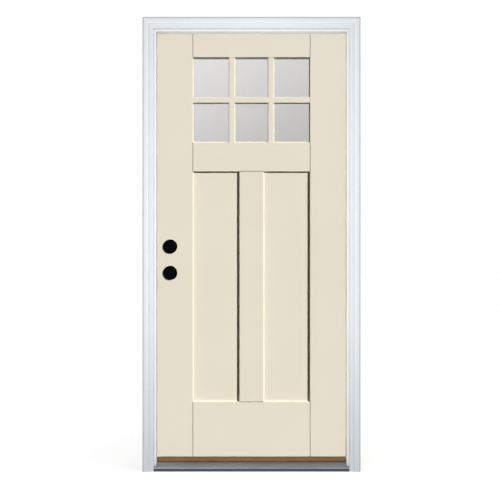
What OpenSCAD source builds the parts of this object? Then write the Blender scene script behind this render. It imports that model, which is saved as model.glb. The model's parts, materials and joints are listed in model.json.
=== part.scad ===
// Panelled front door with six lites, hung in its frame on a sill.
// X runs across the doorway with the hinges at +X, Y runs from outside to inside, Z is up.
// The origin lies on the floor in the middle of the doorway, at the outer edge of the jambs.

/* [Door leaf] */
// Width of the door leaf
leaf_w = 908; // [760:1:1070]
// Height of the door leaf
leaf_h = 2007; // [1900:1:2400]
// Thickness of the door leaf
leaf_t = 44.5; // [42:0.5:57]
// Thickness of each moulded face skin
skin_t = 2.5; // [1.5:0.1:3.2]
// Width of the timber stile inside each long edge
edge_stile_w = 42; // [30:1:44]
// Height of the composite rail inside the top edge
edge_head_h = 32; // [20:1:50]
// Height of the composite rail inside the bottom edge
edge_foot_h = 40; // [25:1:80]
// Bevel of the lock edge, taken off its outer corner
edge_bevel = 2; // [0.5:0.1:3]

/* [Face pattern] */
// Width of the moulded stiles, from the leaf's edge to the panels
stile_w = 176.4; // [150:0.1:210]
// Height of the moulded top rail
top_rail_h = 116.6; // [90:0.1:200]
// Height of the glazed opening in the face
lite_h = 403.6; // [300:0.1:600]
// Height of the moulded rail between lites and panels
mid_rail_h = 136.5; // [90:0.1:250]
// Height of the moulded bottom rail
bottom_rail_h = 259.4; // [180:0.1:350]
// Width of the moulded mullion between the two panels
mullion_w = 113; // [70:0.1:180]
// Depth of the sunk panels below the face
panel_drop = 8; // [5:0.1:9.5]
// Run of the sloping moulding round panels and lites
moulding_run = 3; // [2:0.1:14]
// Width of the joint lines between stiles and rails
joint_w = 2.8; // [1.6:0.1:4]
// Run of the joint lines' sloping sides
joint_run = 0.4; // [0.1:0.1:0.7]
// Depth of the joint lines
joint_d = 1.4; // [0.4:0.1:1.4]

/* [Glazing] */
// Panes across
lite_cols = 3; // [1:1:5]
// Panes up
lite_rows = 2; // [1:1:4]
// Width of the glazing bars at the glass
bar_w = 30.5; // [22:0.5:45]
// Run of the sloping sides of the bars
bar_run = 1.75; // [1:0.05:8]
// How far the bars' front lies below the face
bar_drop = 0.8; // [0.2:0.1:4]
// Height of the square foot of the bars on the glass
bar_foot = 3; // [1:0.1:5]
// Thickness of each glass pane
glass_t = 3; // [2:0.1:5]
// Thickness of the sealed double pane unit
unit_t = 19; // [14:0.1:21]
// Width of the skin's lip round the glass
lite_lip = 1; // [0.5:0.1:5]
// How far the glass runs behind the lip
glass_lap = 10; // [8:0.5:14]
// Width of the glazing tape
tape_w = 8; // [4:0.5:10]
// Width of the spacer between the panes
spacer_w = 8.5; // [5:0.5:12]
// Room round the pane unit for its setting blocks
setting_gap = 4; // [2:0.5:8]
// Length of each setting block
setting_l = 100; // [40:1:110]
// Distance of the setting blocks' middles from the pane's sides
setting_in = 137.5; // [80:0.5:140]
// Width of the buried frame round the pane unit
dam_w = 25; // [15:1:40]

/* [Lock preparation] */
// Diameter of the cross bores for lock and deadbolt
bore_d = 54; // [38:0.5:56]
// Distance from the lock edge to the bores' centres
backset = 69.85; // [60:0.05:80]
// Height of the lock bore above the foot of the leaf
lock_bore_h = 870; // [700:0.1:1100]
// Distance from the lock bore up to the deadbolt bore
bore_spacing = 124.6; // [95:0.1:180]
// Diameter of the latch bores in the lock edge
latch_bore_d = 25.4; // [20:0.1:26]
// Width of the latch face plate's seat in the lock edge
face_plate_w = 28.6; // [26:0.1:36]
// Height of the latch face plate's seat
face_plate_h = 57; // [50:1:90]
// Depth of the latch face plate's seat
face_plate_t = 3; // [2:0.1:4]
// Corner radius of the latch face plate's seat
face_plate_r = 6.35; // [3:0.05:10]
// Depth of the strike pockets in the jamb
strike_depth = 14; // [8:0.5:16]
// Diameter of the strike pockets, wider than the latch bores
strike_d = 27; // [26:0.1:28]
// Diameter of the bore covers on the outside
cover_d = 67; // [60:0.5:80]
// Thickness of the bore covers
cover_t = 3.2; // [2.4:0.1:6]
// Depth of the hollow in the back of the bore covers
cover_dish = 1.4; // [0.8:0.1:2]
// Chamfer of the bore covers' front edge
cover_chamfer = 0.9; // [0.3:0.1:1.2]
// Width of the timber lock block
lock_block_w = 115; // [100:1:125]
// Height of the timber lock block
lock_block_h = 400; // [300:1:600]

/* [Hinges] */
// Height of the butt hinges
hinge_h = 101.6; // [76:0.1:127]
// Thickness of the hinge leaves
plate_t = 2.5; // [2.2:0.1:3.5]
// Timber left between the hinge leaves and the leaf's outer face
hinge_backset = 6.5; // [4:0.1:10]
// Corner radius of the hinge leaves
plate_r = 15.9; // [4:0.1:16]
// Diameter of the knuckles
knuckle_d = 12.6; // [11:0.1:16]
// Knuckles in each hinge
knuckle_n = 5; // [3:2:7]
// Diameter of the hinge pins
pin_d = 6; // [5:0.1:7]
// Diameter of the hinge pins' heads
pin_head_d = 9.5; // [8:0.1:12]
// Thickness of the hinge pins' heads
pin_head_h = 3; // [2:0.1:5]
// Drop from the top of the leaf to the middle of the top hinge
top_hinge_drop = 235; // [150:1:350]
// Rise from the foot of the leaf to the middle of the bottom hinge
foot_hinge_rise = 330; // [180:1:400]

/* [Screws] */
// Diameter of the screws' shanks
screw_d = 4.2; // [3.5:0.1:5]
// Diameter of the screws' countersunk heads
screw_head_d = 8.2; // [7.5:0.1:8.8]
// Length of the hinge screws
hinge_screw_l = 17; // [12:0.5:18]
// Screws in each hinge leaf
hinge_screw_n = 4; // [2:1:6]
// Distance of the outer hinge screws from the ends of the hinge leaf
hinge_screw_end = 12.3; // [10:0.1:16]
// Distance of the hinge screws from the long sides of the hinge leaf
hinge_screw_side = 11.5; // [9:0.1:13]
// Length of the screws through the frame's corners
frame_screw_l = 50; // [35:1:75]
// Distance of the frame screws from the jambs' edges
frame_screw_in = 15; // [10:0.5:30]

/* [Frame] */
// Depth of the jambs, from outside to inside
jamb_d = 116; // [105:0.1:170]
// Thickness of the jambs behind the stop
jamb_t = 19; // [18:0.1:32]
// Height of the stop above the jamb's rabbet
stop_h = 12.7; // [11:0.1:16]
// Gap between the leaf and the jambs
edge_gap = 3.2; // [2.5:0.1:4]
// Room between the stop and the leaf for the weatherstrip
seal_gap = 8; // [6:0.1:10]
// Width of the weatherstrip's kerf in the stop
kerf_w = 3; // [2:0.1:4]
// Depth of the weatherstrip's kerf in the stop
kerf_d = 10; // [6:0.1:14]
// Distance of the kerf from the rabbet
kerf_in = 4; // [3:0.1:5]
// Height of the corner pads at the foot of the weatherstrips
pad_h = 50; // [30:1:80]
// Height of the tapered upper end of the corner pads
pad_taper = 20; // [10:1:25]
// Thickness of the corner pads at their upper end
pad_tip_t = 4.6; // [3:0.1:5]

/* [Brick mould] */
// Width of the brick mould
mould_w = 51; // [44:0.1:70]
// Thickness of the brick mould
mould_t = 31.8; // [26:0.1:40]
// Strip of the jamb that shows inside the brick mould
reveal = 10; // [5:0.1:12]
// Width of the flat outer band of the brick mould
band_w = 20; // [12:0.1:24]
// Radius of the brick mould's bead
bead_r = 4.5; // [3:0.1:6]
// How far the bead lies below the band
bead_drop = 0.8; // [0.3:0.1:2]
// How far the bead stands up from the upper edge of the cove
bead_rise = 1.3; // [0.8:0.1:3]
// Depth of the quirk between band and bead, below the band
quirk_d = 1.6; // [1:0.1:3]
// Radius of the brick mould's cove
cove_r = 18; // [14:0.1:24]
// Thickness of the brick mould at its inner edge
lip_t = 24; // [20:0.1:26]
// Width of the flat along the brick mould's inner edge
lip_w = 10; // [6:0.1:14]
// Radius of the brick mould's outer corner
mould_edge_r = 5; // [1:0.1:6]

/* [Sill] */
// How far the sill's nose stands out past the jambs
nose_out = 27; // [15:0.1:31]
// Height of the tread at the nose
nose_h = 17; // [12:0.1:20]
// Height of the tread's lip over the nose
tread_lip = 2.5; // [1:0.1:5]
// Height of the tread at the cap
tread_h = 28.5; // [24:0.1:34]
// Thickness of the aluminium tread
tread_t = 2; // [1:0.1:3]
// Height of the tread's upstand behind the cap
upstand_h = 31; // [24:0.1:36]
// Ribs on the tread
rib_n = 6; // [2:1:10]
// Width of the ribs
rib_w = 2; // [1:0.1:4]
// Height of the ribs
rib_h = 0.6; // [0.3:0.1:1.2]
// Height of the sill cap above the floor
cap_top = 44.5; // [38:0.1:55]
// Thickness of the sill cap
cap_t = 24; // [18:0.1:26]
// Width of the sill cap
cap_w = 48; // [38:0.1:50]
// How far the sill cap shows in front of the leaf
cap_lead = 11; // [4:0.1:18]
// Radius of the sill cap's upper edges
cap_r = 4; // [1:0.1:8]
// How far the sill cap can be screwed down
cap_travel = 4; // [1:0.1:5]
// Jack screws in the sill cap
jack_n = 4; // [2:1:6]
// Diameter of the jack screws
jack_d = 8; // [6:0.1:10]
// Diameter of the jack screws' heads
jack_head_d = 12; // [11:0.1:16]
// Thickness of the jack screws' heads
jack_head_h = 3; // [2:0.1:5]
// How far the jack screws' heads lie below the top of the cap
jack_sink = 1; // [0.5:0.1:3]
// Sill left under the jack screws when the cap is right down
jack_floor = 1.5; // [1:0.1:3]
// Distance of the outer jack screws from the jambs
jack_in = 70; // [70:1:150]
// Room under the leaf for the sweep
sweep_gap = 5.5; // [4:0.1:10]
// Thickness of the sweep's base
sweep_base_t = 1.8; // [1:0.1:2.5]
// Distance of the sweep from the faces of the leaf
sweep_in = 3.2; // [2:0.1:6]
// Fins on the sweep
fin_n = 4; // [2:1:5]
// Thickness of the sweep's fins
fin_t = 1.6; // [1:0.1:2.5]

/* [Fits] */
// Clearance of soft seals from the leaf and the cap
seal_clear = 0.3; // [0.2:0.05:0.6]
// Clearance of the cap in its channel
cap_clear = 0.4; // [0.3:0.05:0.8]
// Gap where timber is coped over the sill
cope_gap = 0.4; // [0.2:0.05:0.8]
// Radial clearance of the hinge pins
pin_fit = 0.05; // [0.02:0.01:0.09]
// Gap between neighbouring knuckles
knuckle_gap = 0.4; // [0.2:0.05:0.8]
// Clearance of the knuckles from the jamb and the leaf
knuckle_clear = 0.5; // [0.35:0.05:1]
// Clearance of screws and plates in their seats
seat_fit = 0.05; // [0.02:0.01:0.15]
// Clearance of the bars in the glazed opening
bar_fit = 0.3; // [0.1:0.05:0.6]
// Clearance of the buried frame from the moulding of the skins
dam_clear = 1; // [0.5:0.1:2]

/* [Hidden] */
$fn = 64;
// How far a cutting shape stands past the face that it cuts
over = 1;

// Across the doorway
leaf_x = leaf_w / 2;
rabbet_x = leaf_x + edge_gap;
stop_x = rabbet_x - stop_h;
jamb_x = rabbet_x + jamb_t;
mould_x0 = stop_x + reveal;
mould_x1 = mould_x0 + mould_w;
core_x = leaf_x - edge_stile_w;

// From outside to inside
leaf_y0 = jamb_d - leaf_t;
leaf_y1 = jamb_d;
leaf_ym = (leaf_y0 + leaf_y1) / 2;
stop_y = leaf_y0 - seal_gap;

// Upwards
leaf_z0 = cap_top + sweep_gap;
leaf_z1 = leaf_z0 + leaf_h;
rabbet_z = leaf_z1 + edge_gap;
stop_z = rabbet_z - stop_h;
head_z = rabbet_z + jamb_t;
mould_z0 = stop_z + reveal;
mould_z1 = mould_z0 + mould_w;

// Rectangles of the face pattern, each [x0, z0, x1, z1]
panel_x = leaf_x - stile_w;
lite_z1 = leaf_z1 - top_rail_h;
lite_z0 = lite_z1 - lite_h;
panel_z1 = lite_z0 - mid_rail_h;
panel_z0 = leaf_z0 + bottom_rail_h;
lite = [-panel_x, lite_z0, panel_x, lite_z1];
panels = [
    [-panel_x, panel_z0, -mullion_w / 2, panel_z1],
    [mullion_w / 2, panel_z0, panel_x, panel_z1]
];
leaf_face = [-leaf_x, leaf_z0, leaf_x, leaf_z1];
core_face = [-core_x, leaf_z0 + edge_foot_h, core_x, leaf_z1 - edge_head_h];

// Glazing, with depths measured from either face of the leaf
sight = grow(lite, -moulding_run - lite_lip);
pane = grow(sight, glass_lap);
dam_hole = grow(pane, max(setting_gap, lite_lip + moulding_run + skin_t + dam_clear - glass_lap));
dam_edge = grow(dam_hole, dam_w);
lip_y = panel_drop + skin_t;
glass_y = (leaf_t - unit_t) / 2;

// Lock preparation
bore_x = backset - leaf_x;
lock_z = leaf_z0 + lock_bore_h;
bore_zs = [lock_z, lock_z + bore_spacing];
block_z = lock_z + bore_spacing / 2;
block_face = [-core_x, block_z - lock_block_h / 2, lock_block_w - core_x, block_z + lock_block_h / 2];

// Hinges
plate_w = leaf_t - hinge_backset;
pin_x = leaf_x + edge_gap / 2;
pin_y = leaf_y1 + knuckle_d / 2 + knuckle_clear;
top_hinge_z = leaf_z1 - top_hinge_drop;
foot_hinge_z = leaf_z0 + foot_hinge_rise;
hinge_zs = [top_hinge_z, (top_hinge_z + foot_hinge_z) / 2, foot_hinge_z];
screw_head_h = (screw_head_d - screw_d) / 2;
screw_end_z = hinge_h / 2 - hinge_screw_end;
screw_near_y = leaf_y1 - hinge_screw_side;
screw_far_y = leaf_y1 - plate_w + hinge_screw_side;
// Places of the screws in a hinge leaf, each [y, z], in even steps from side to side
hinge_screws = [
    for (i = [0 : hinge_screw_n - 1])
        [i % 2 == 0 ? screw_near_y : screw_far_y, screw_end_z * (1 - 2 * i / (hinge_screw_n - 1))]
];

// Sill
nose_y = -nose_out;
cap_y0 = leaf_y0 - cap_lead;
cap_y1 = cap_y0 + cap_w;
cap_z0 = cap_top - cap_t;
cap_x = rabbet_x - 2 * cap_clear;
channel_y0 = cap_y0 - cap_clear;
channel_y1 = cap_y1 + cap_clear;
channel_z = cap_z0 - cap_travel - cap_clear;
tread_slope = atan2(tread_h - nose_h, channel_y0 - nose_y);
cope_h = rib_h + cope_gap;
pad_z = cap_top + cope_h;
nose_x = min(rabbet_x, mould_x0 - cope_gap);
jack_span = rabbet_x - jack_in;
jack_z1 = cap_top - jack_sink;
jack_z0 = jack_floor + cap_travel;
sill_screw_z = (channel_z - tread_t) / 2;

// Places of the frame screws, each [y, z]
frame_screws_at = [
    for (y = [frame_screw_in, jamb_d - frame_screw_in])
        for (z = [sill_screw_z, (rabbet_z + head_z) / 2]) [y, z]
];

// Rectangle grown by d on every side
function grow(r, d) = [r[0] - d, r[1] - d, r[2] + d, r[3] + d];

// Height of the tread's upper face at depth y
function tread_z(y) = nose_h + (y - nose_y) * tan(tread_slope);

// Shapes

// Plate over a rectangle of the face, between two depths
module plate(r, y0, y1) {
    translate([r[0], y0, r[1]]) cube([r[2] - r[0], y1 - y0, r[3] - r[1]]);
}

// Rectangular ring between two depths
module ring(outer, inner, y0, y1) {
    difference() {
        plate(outer, y0, y1);
        plate(inner, y0 - over, y1 + over);
    }
}

// Plate whose four sides slope in by run from y0 to y1, as two crossed wedges
module sloped_plate(r, y0, y1, run) {
    intersection() {
        along_z(r[1], r[3])
            polygon([[r[0], y0], [r[2], y0], [r[2] - run, y1], [r[0] + run, y1]]);
        along_x(r[0], r[2])
            polygon([[y0, r[1]], [y0, r[3]], [y1, r[3] - run], [y1, r[1] + run]]);
    }
}

// Carries an outline drawn in (y, z) along X
module along_x(x0, x1) {
    translate([x0, 0, 0]) rotate([90, 0, 90]) linear_extrude(x1 - x0) children();
}

// Carries an outline drawn in (x, z) along Y
module along_y(y0, y1) {
    translate([0, y1, 0]) rotate([90, 0, 0]) linear_extrude(y1 - y0) children();
}

// Carries an outline drawn in (x, y) along Z
module along_z(z0, z1) {
    translate([0, 0, z0]) linear_extrude(z1 - z0) children();
}

// Rectangle with two round corners of radius r on its +y side
module round_top(w, h, r) {
    square([w, h - r]);
    translate([r, 0]) square([w - 2 * r, h]);
    for (x = [r, w - r]) translate([x, h - r]) circle(r);
}

// Countersunk screw along +Z with its head flush at z = 0, or its hole when fit is above 0
module screw(length, fit = 0) {
    cylinder(h = screw_head_h, d1 = screw_head_d + 2 * fit, d2 = screw_d + 2 * fit);
    cylinder(h = length + fit, d = screw_d + 2 * fit);
    if (fit > 0) translate([0, 0, -over]) cylinder(h = over, d = screw_head_d + 2 * fit);
}

// Places its child on the leaf's outer or inner face, with y as the depth below that face
module on_outer_face() {
    translate([0, leaf_y0, 0]) children();
}

module on_inner_face() {
    translate([0, leaf_y1, 0]) mirror([0, 1, 0]) children();
}

module on_both_faces() {
    on_outer_face() children();
    on_inner_face() children();
}

// Frame

// Jamb at the hinge side, with its stop coped over the sill and a kerf for the weatherstrip
module jamb() {
    difference() {
        union() {
            along_z(0, head_z) translate([rabbet_x, 0]) square([jamb_t, jamb_d]);
            along_z(0, stop_z) translate([stop_x, 0]) square([stop_h + jamb_t / 2, stop_y]);
        }
        along_z(-over, stop_z + over)
            translate([rabbet_x - kerf_in - kerf_w, stop_y - kerf_d]) square([kerf_w, kerf_d + over]);
        along_x(stop_x - over, rabbet_x) sill_cope();
    }
}

// Side outline of the sill and its cap, raised by the cope's gap
module sill_cope() {
    y0 = nose_y - over;
    y1 = stop_y + over;
    cap_edge_y = channel_y0 - cope_gap;
    polygon([
        [y0, -over], [y0, tread_z(y0) + cope_h],
        [cap_edge_y, tread_z(cap_edge_y) + cope_h], [cap_edge_y, cap_top + cope_h],
        [y1, cap_top + cope_h], [y1, -over]
    ]);
}

module at_frame_screws(side) {
    for (p = frame_screws_at)
        translate([side * jamb_x, p[0], p[1]]) rotate([0, -90 * side, 0]) children();
}

module hinge_jamb() color("whitesmoke") difference() {
    jamb();
    for (z = hinge_zs) translate([0, 0, z]) {
        along_x(rabbet_x - over, rabbet_x + plate_t) hinge_outline(seat_fit);
        at_jamb_screws() screw(hinge_screw_l, seat_fit);
    }
    at_frame_screws(1) screw(frame_screw_l, seat_fit);
}

module strike_jamb() color("whitesmoke") difference() {
    mirror([1, 0, 0]) jamb();
    for (z = bore_zs) translate([-rabbet_x, leaf_ym, z]) {
        latch_seat(-1);
        rotate([0, -90, 0]) cylinder(h = strike_depth, d = strike_d);
    }
    at_frame_screws(-1) screw(frame_screw_l, seat_fit);
}

module head_jamb() color("whitesmoke") difference() {
    union() {
        plate([-rabbet_x, rabbet_z, rabbet_x, head_z], 0, jamb_d);
        plate([-rabbet_x, stop_z, rabbet_x, rabbet_z + jamb_t / 2], 0, stop_y);
    }
    plate([-rabbet_x - over, rabbet_z - kerf_in - kerf_w, rabbet_x + over, rabbet_z - kerf_in],
        stop_y - kerf_d, stop_y + over);
    for (side = [-1, 1]) at_frame_screws(side) screw(frame_screw_l, seat_fit);
}

module frame_screws() color("silver") {
    for (side = [-1, 1]) at_frame_screws(side) screw(frame_screw_l);
}

// Section of the brick mould, from its inner edge out along x and from the wall forward along y:
// a flat lip, a cove that rises to a bead, a quirk and a flat band with a round outer corner
module mould_section() {
    bead_x = mould_w - band_w - bead_r;
    bead_y = mould_t - bead_drop - bead_r;
    difference() {
        square([bead_x, bead_y + bead_r - bead_rise]);
        translate([lip_w, lip_t + cove_r]) circle(cove_r);
        translate([-over, lip_t]) square([lip_w + over, mould_t]);
    }
    translate([bead_x, bead_y]) circle(bead_r);
    translate([bead_x, 0]) square([bead_r, mould_t - quirk_d]);
    translate([bead_x + bead_r, 0]) {
        square([band_w, mould_t - mould_edge_r]);
        square([band_w - mould_edge_r, mould_t]);
        translate([band_w - mould_edge_r, mould_t - mould_edge_r]) circle(mould_edge_r);
    }
}

// Side piece of the brick mould at the hinge side, mitred at its top
module mould_side() {
    intersection() {
        along_z(0, mould_z1) translate([mould_x0, 0]) mirror([0, 1]) mould_section();
        along_y(-mould_t - over, over) polygon([
            [mould_x0 - over, -over], [mould_x1 + over, -over],
            [mould_x1 + over, mould_z1 + over], [mould_x0 - over, mould_z0 - over]
        ]);
    }
}

module hinge_brick_mould() color("aliceblue") mould_side();

module strike_brick_mould() color("aliceblue") mirror([1, 0, 0]) mould_side();

module head_brick_mould() color("aliceblue") intersection() {
    along_x(-mould_x1, mould_x1) translate([0, mould_z0]) rotate(90) mould_section();
    along_y(-mould_t - over, over) polygon([
        [over - mould_x0, mould_z0 - over], [mould_x0 - over, mould_z0 - over],
        [mould_x1 + over, mould_z1 + over], [-mould_x1 - over, mould_z1 + over]
    ]);
}

// Section of the weatherstrip, from the rabbet into the doorway along x and from the stop to the leaf
// along y: a round-sided bulb and the fin that holds it in the kerf
module seal_section() {
    bulb_t = seal_gap - seal_clear;
    bulb_x0 = cope_gap + bulb_t / 2;
    bulb_x1 = stop_h - cope_gap - bulb_t / 2;
    translate([bulb_x0, 0]) square([bulb_x1 - bulb_x0, bulb_t]);
    for (x = [bulb_x0, bulb_x1]) translate([x, bulb_t / 2]) circle(bulb_t / 2);
    translate([kerf_in + seat_fit, cope_gap - kerf_d])
        square([kerf_w - 2 * seat_fit, kerf_d - cope_gap + bulb_t / 2]);
}

module side_weatherstrip() {
    along_z(pad_z + pad_h, stop_z)
        translate([rabbet_x, stop_y]) mirror([1, 0]) seal_section();
}

module hinge_weatherstrip() color("gainsboro") side_weatherstrip();

module strike_weatherstrip() color("gainsboro") mirror([1, 0, 0]) side_weatherstrip();

module head_weatherstrip() color("gainsboro")
    along_x(-rabbet_x, rabbet_x) translate([stop_y, rabbet_z]) rotate(-90) seal_section();

// Foam wedge that closes the corner between weatherstrip, leaf and sill
module corner_pad() {
    pad_t = seal_gap - seal_clear;
    along_x(stop_x + cope_gap, rabbet_x)
        polygon([
            [stop_y, pad_z], [stop_y + pad_t, pad_z], [stop_y + pad_t, pad_z + pad_h - pad_taper],
            [stop_y + pad_tip_t, pad_z + pad_h], [stop_y, pad_z + pad_h]
        ]);
}

module hinge_corner_pad() color("dimgray") corner_pad();

module strike_corner_pad() color("dimgray") mirror([1, 0, 0]) corner_pad();

// Sill

// Keeps the sill between the brick moulds where it stands out past the jambs
module between_moulds() {
    difference() {
        children();
        for (side = [0, 1]) mirror([side, 0, 0])
            translate([nose_x, nose_y - over, -over])
                cube([rabbet_x, nose_out + over, tread_h + 2 * over]);
    }
}

module at_jacks() {
    for (i = [0 : jack_n - 1])
        translate([jack_span * (2 * i / (jack_n - 1) - 1), (cap_y0 + cap_y1) / 2, 0]) children();
}

module sill_base() color("dimgray") difference() {
    wall_y0 = channel_y0 - tread_t;
    wall_y1 = channel_y1 + tread_t;
    lip_y0 = nose_y + tread_t;
    floor_z = channel_z - tread_t;
    between_moulds() along_x(-rabbet_x, rabbet_x) polygon([
        [nose_y, 0], [jamb_d, 0], [jamb_d, upstand_h - tread_t], [wall_y1, upstand_h - tread_t],
        [wall_y1, floor_z], [wall_y0, floor_z], [wall_y0, tread_z(wall_y0) - tread_t],
        [lip_y0, tread_z(lip_y0) - tread_t], [lip_y0, nose_h - tread_lip], [nose_y, nose_h - tread_lip]
    ]);
    at_jacks() translate([0, 0, jack_z0 - cap_travel - cap_clear])
        cylinder(h = cap_top, d = jack_d + 2 * cap_clear);
    for (side = [-1, 1]) at_frame_screws(side) screw(frame_screw_l, seat_fit);
}

// Aluminium tread: a lip over the nose, a ribbed slope and the channel that holds the cap
module sill_tread() color("slategray") difference() {
    wall_y0 = channel_y0 - tread_t;
    wall_y1 = channel_y1 + tread_t;
    lip_y0 = nose_y + tread_t;
    floor_z = channel_z - tread_t;
    between_moulds() {
        along_x(-rabbet_x, rabbet_x) polygon([
            [nose_y, nose_h - tread_lip], [nose_y, nose_h], [channel_y0, tread_h], [channel_y0, channel_z],
            [channel_y1, channel_z], [channel_y1, upstand_h], [wall_y1, upstand_h], [wall_y1, floor_z],
            [wall_y0, floor_z], [wall_y0, tread_z(wall_y0) - tread_t],
            [lip_y0, tread_z(lip_y0) - tread_t], [lip_y0, nose_h - tread_lip]
        ]);
        for (i = [1 : rib_n]) {
            rib_y = nose_y + i * (channel_y0 - nose_y) / (rib_n + 1);
            along_x(-rabbet_x, rabbet_x) translate([rib_y, tread_z(rib_y)]) rotate(tread_slope)
                translate([-rib_w / 2, -tread_t / 2]) square([rib_w, tread_t / 2 + rib_h]);
        }
    }
    at_jacks() cylinder(h = cap_top, d = jack_d + 2 * cap_clear);
}

module sill_cap() color("peru") difference() {
    along_x(-cap_x, cap_x) translate([cap_y0, cap_z0]) round_top(cap_w, cap_t, cap_r);
    at_jacks() {
        cylinder(h = cap_top + over, d = jack_d + 2 * seat_fit);
        translate([0, 0, jack_z1 - jack_head_h]) cylinder(h = cap_top, d = jack_head_d + 2 * seat_fit);
    }
}

module jack_screws() color("silver") at_jacks() {
    translate([0, 0, jack_z0]) cylinder(h = jack_z1 - jack_z0, d = jack_d);
    translate([0, 0, jack_z1 - jack_head_h]) cylinder(h = jack_head_h, d = jack_head_d);
}

// Hinges

// Outline of a hinge leaf in (y, z), grown by fit on the three sides that lie in its seat
module hinge_outline(fit = 0) {
    r = plate_r + fit;
    h = hinge_h / 2 + fit;
    y0 = leaf_y1 - plate_w - fit;
    translate([y0 + r, -h]) square([leaf_y1 - y0 - r, 2 * h]);
    translate([y0, r - h]) square([leaf_y1 - y0, 2 * (h - r)]);
    for (z = [r - h, h - r]) translate([y0 + r, z]) circle(r);
}

module at_jamb_screws() {
    for (p = hinge_screws) translate([rabbet_x, p[0], p[1]]) rotate([0, 90, 0]) children();
}

module at_door_screws() {
    for (p = hinge_screws) translate([leaf_x, p[0], p[1]]) rotate([0, -90, 0]) children();
}

// Hinge leaf from x0 to x0 + plate_t, with every second knuckle from the first one up
module hinge_leaf(x0, first) {
    pitch = hinge_h / knuckle_n;
    height = pitch - knuckle_gap;
    difference() {
        union() {
            along_x(x0, x0 + plate_t) hinge_outline();
            for (i = [first : 2 : knuckle_n - 1])
                translate([0, 0, i * pitch - hinge_h / 2 + knuckle_gap / 2]) {
                    translate([pin_x, pin_y, 0]) cylinder(h = height, d = knuckle_d);
                    translate([x0, leaf_y1 - over, 0]) cube([plate_t, pin_y - leaf_y1 + over, height]);
                }
        }
        translate([pin_x, pin_y, -hinge_h]) cylinder(h = 2 * hinge_h, d = pin_d + 2 * pin_fit);
    }
}

module hinge_jamb_leaf(z) color("silver") translate([0, 0, z]) difference() {
    hinge_leaf(rabbet_x, 0);
    at_jamb_screws() screw(hinge_screw_l, seat_fit);
}

module hinge_door_leaf(z) color("silver") translate([0, 0, z]) difference() {
    hinge_leaf(leaf_x - plate_t, 1);
    at_door_screws() screw(hinge_screw_l, seat_fit);
}

// Loose pin with a button head above the knuckles and a plain tip below them
module hinge_pin(z) color("silver") translate([pin_x, pin_y, z]) {
    translate([0, 0, -hinge_h / 2 - pin_head_h]) cylinder(h = hinge_h + 2 * pin_head_h, d = pin_d);
    translate([0, 0, hinge_h / 2]) cylinder(h = pin_head_h, d1 = pin_head_d, d2 = pin_d);
}

module hinge_jamb_screws() color("silver") {
    for (z = hinge_zs) translate([0, 0, z]) at_jamb_screws() screw(hinge_screw_l);
}

module hinge_door_screws() color("silver") {
    for (z = hinge_zs) translate([0, 0, z]) at_door_screws() screw(hinge_screw_l);
}

// Door leaf

// Hollow of a panel or of the lites in the face
module sunk(r) {
    slope = moulding_run / panel_drop;
    sloped_plate(grow(r, over * slope), -over, panel_drop, moulding_run + over * slope);
}

// Tray of skin behind such a hollow, one skin thickness wider and deeper
module tray(r) {
    slope = moulding_run / panel_drop;
    sloped_plate(grow(r, skin_t + skin_t * slope), 0, lip_y, lip_y * slope);
}

// Lines between stiles, rails and mullion
module joint_lines() {
    spans = [[leaf_z0 - over, panel_z0], [panel_z1, lite_z0], [lite_z1, leaf_z1 + over]];
    for (x = [-panel_x, panel_x]) for (span = spans)
        along_z(span[0], span[1]) joint_section(x);
    for (z = [panel_z0, panel_z1])
        along_x(-mullion_w / 2, mullion_w / 2) rotate(90) mirror([0, 1]) joint_section(z);
}

// Section of a joint line at position p across it, from the face down
module joint_section(p) {
    floor_w = joint_w - 2 * joint_run;
    polygon([
        [p - joint_w / 2, 0], [p - joint_w / 2, -over], [p + joint_w / 2, -over],
        [p + joint_w / 2, 0], [p + floor_w / 2, joint_d], [p - floor_w / 2, joint_d]
    ]);
}

// Moulded skin of one face, with y as the depth below that face
module face_skin() {
    difference() {
        union() {
            plate(leaf_face, 0, skin_t);
            for (r = concat(panels, [lite])) tray(r);
        }
        for (r = concat(panels, [lite])) sunk(r);
        plate(sight, -over, lip_y + over);
        joint_lines();
        at_bores() cross_bore();
    }
}

module at_bores() {
    for (z = bore_zs) translate([bore_x, 0, z]) children();
}

// Cross bore right through the leaf, along Y
module cross_bore() {
    translate([0, -leaf_t, 0]) rotate([-90, 0, 0]) cylinder(h = leaf_y1 + 2 * leaf_t, d = bore_d);
}

// Bevel of the lock edge, which leaves the inner skin square
module lock_edge_bevel() {
    along_z(leaf_z0 - over, leaf_z1 + over) polygon([
        [-leaf_x, leaf_y1 - skin_t], [edge_bevel - leaf_x, leaf_y0], [edge_bevel - leaf_x, leaf_y0 - over],
        [-leaf_x - over, leaf_y0 - over], [-leaf_x - over, leaf_y1 - skin_t]
    ]);
}

module exterior_skin() color("antiquewhite") difference() {
    on_outer_face() face_skin();
    lock_edge_bevel();
}

module interior_skin() color("antiquewhite") difference() {
    on_inner_face() face_skin();
    hinge_seats();
}

// Seats of the hinge leaves in the hinge edge
module hinge_seats() {
    for (z = hinge_zs) translate([0, 0, z])
        along_x(leaf_x - plate_t, leaf_x + over) union() {
            hinge_outline(seat_fit);
            translate([leaf_y1 - over, -hinge_h / 2 - seat_fit]) square([2 * over, hinge_h + 2 * seat_fit]);
        }
}

// Seat of a latch face plate, sunk in the direction side along X
module latch_seat(side) {
    r = face_plate_r;
    rotate([90, 0, 90 * side]) translate([0, 0, -over]) linear_extrude(face_plate_t + over) {
        square([face_plate_w - 2 * r, face_plate_h], center = true);
        square([face_plate_w, face_plate_h - 2 * r], center = true);
        for (x = [-1, 1], y = [-1, 1])
            translate([x * (face_plate_w / 2 - r), y * (face_plate_h / 2 - r)]) circle(r);
    }
}

// Bores from the lock edge into the cross bores
module latch_bores() {
    for (z = bore_zs) translate([-leaf_x - over, leaf_ym, z])
        rotate([0, 90, 0]) cylinder(h = backset + over, d = latch_bore_d);
}

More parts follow.
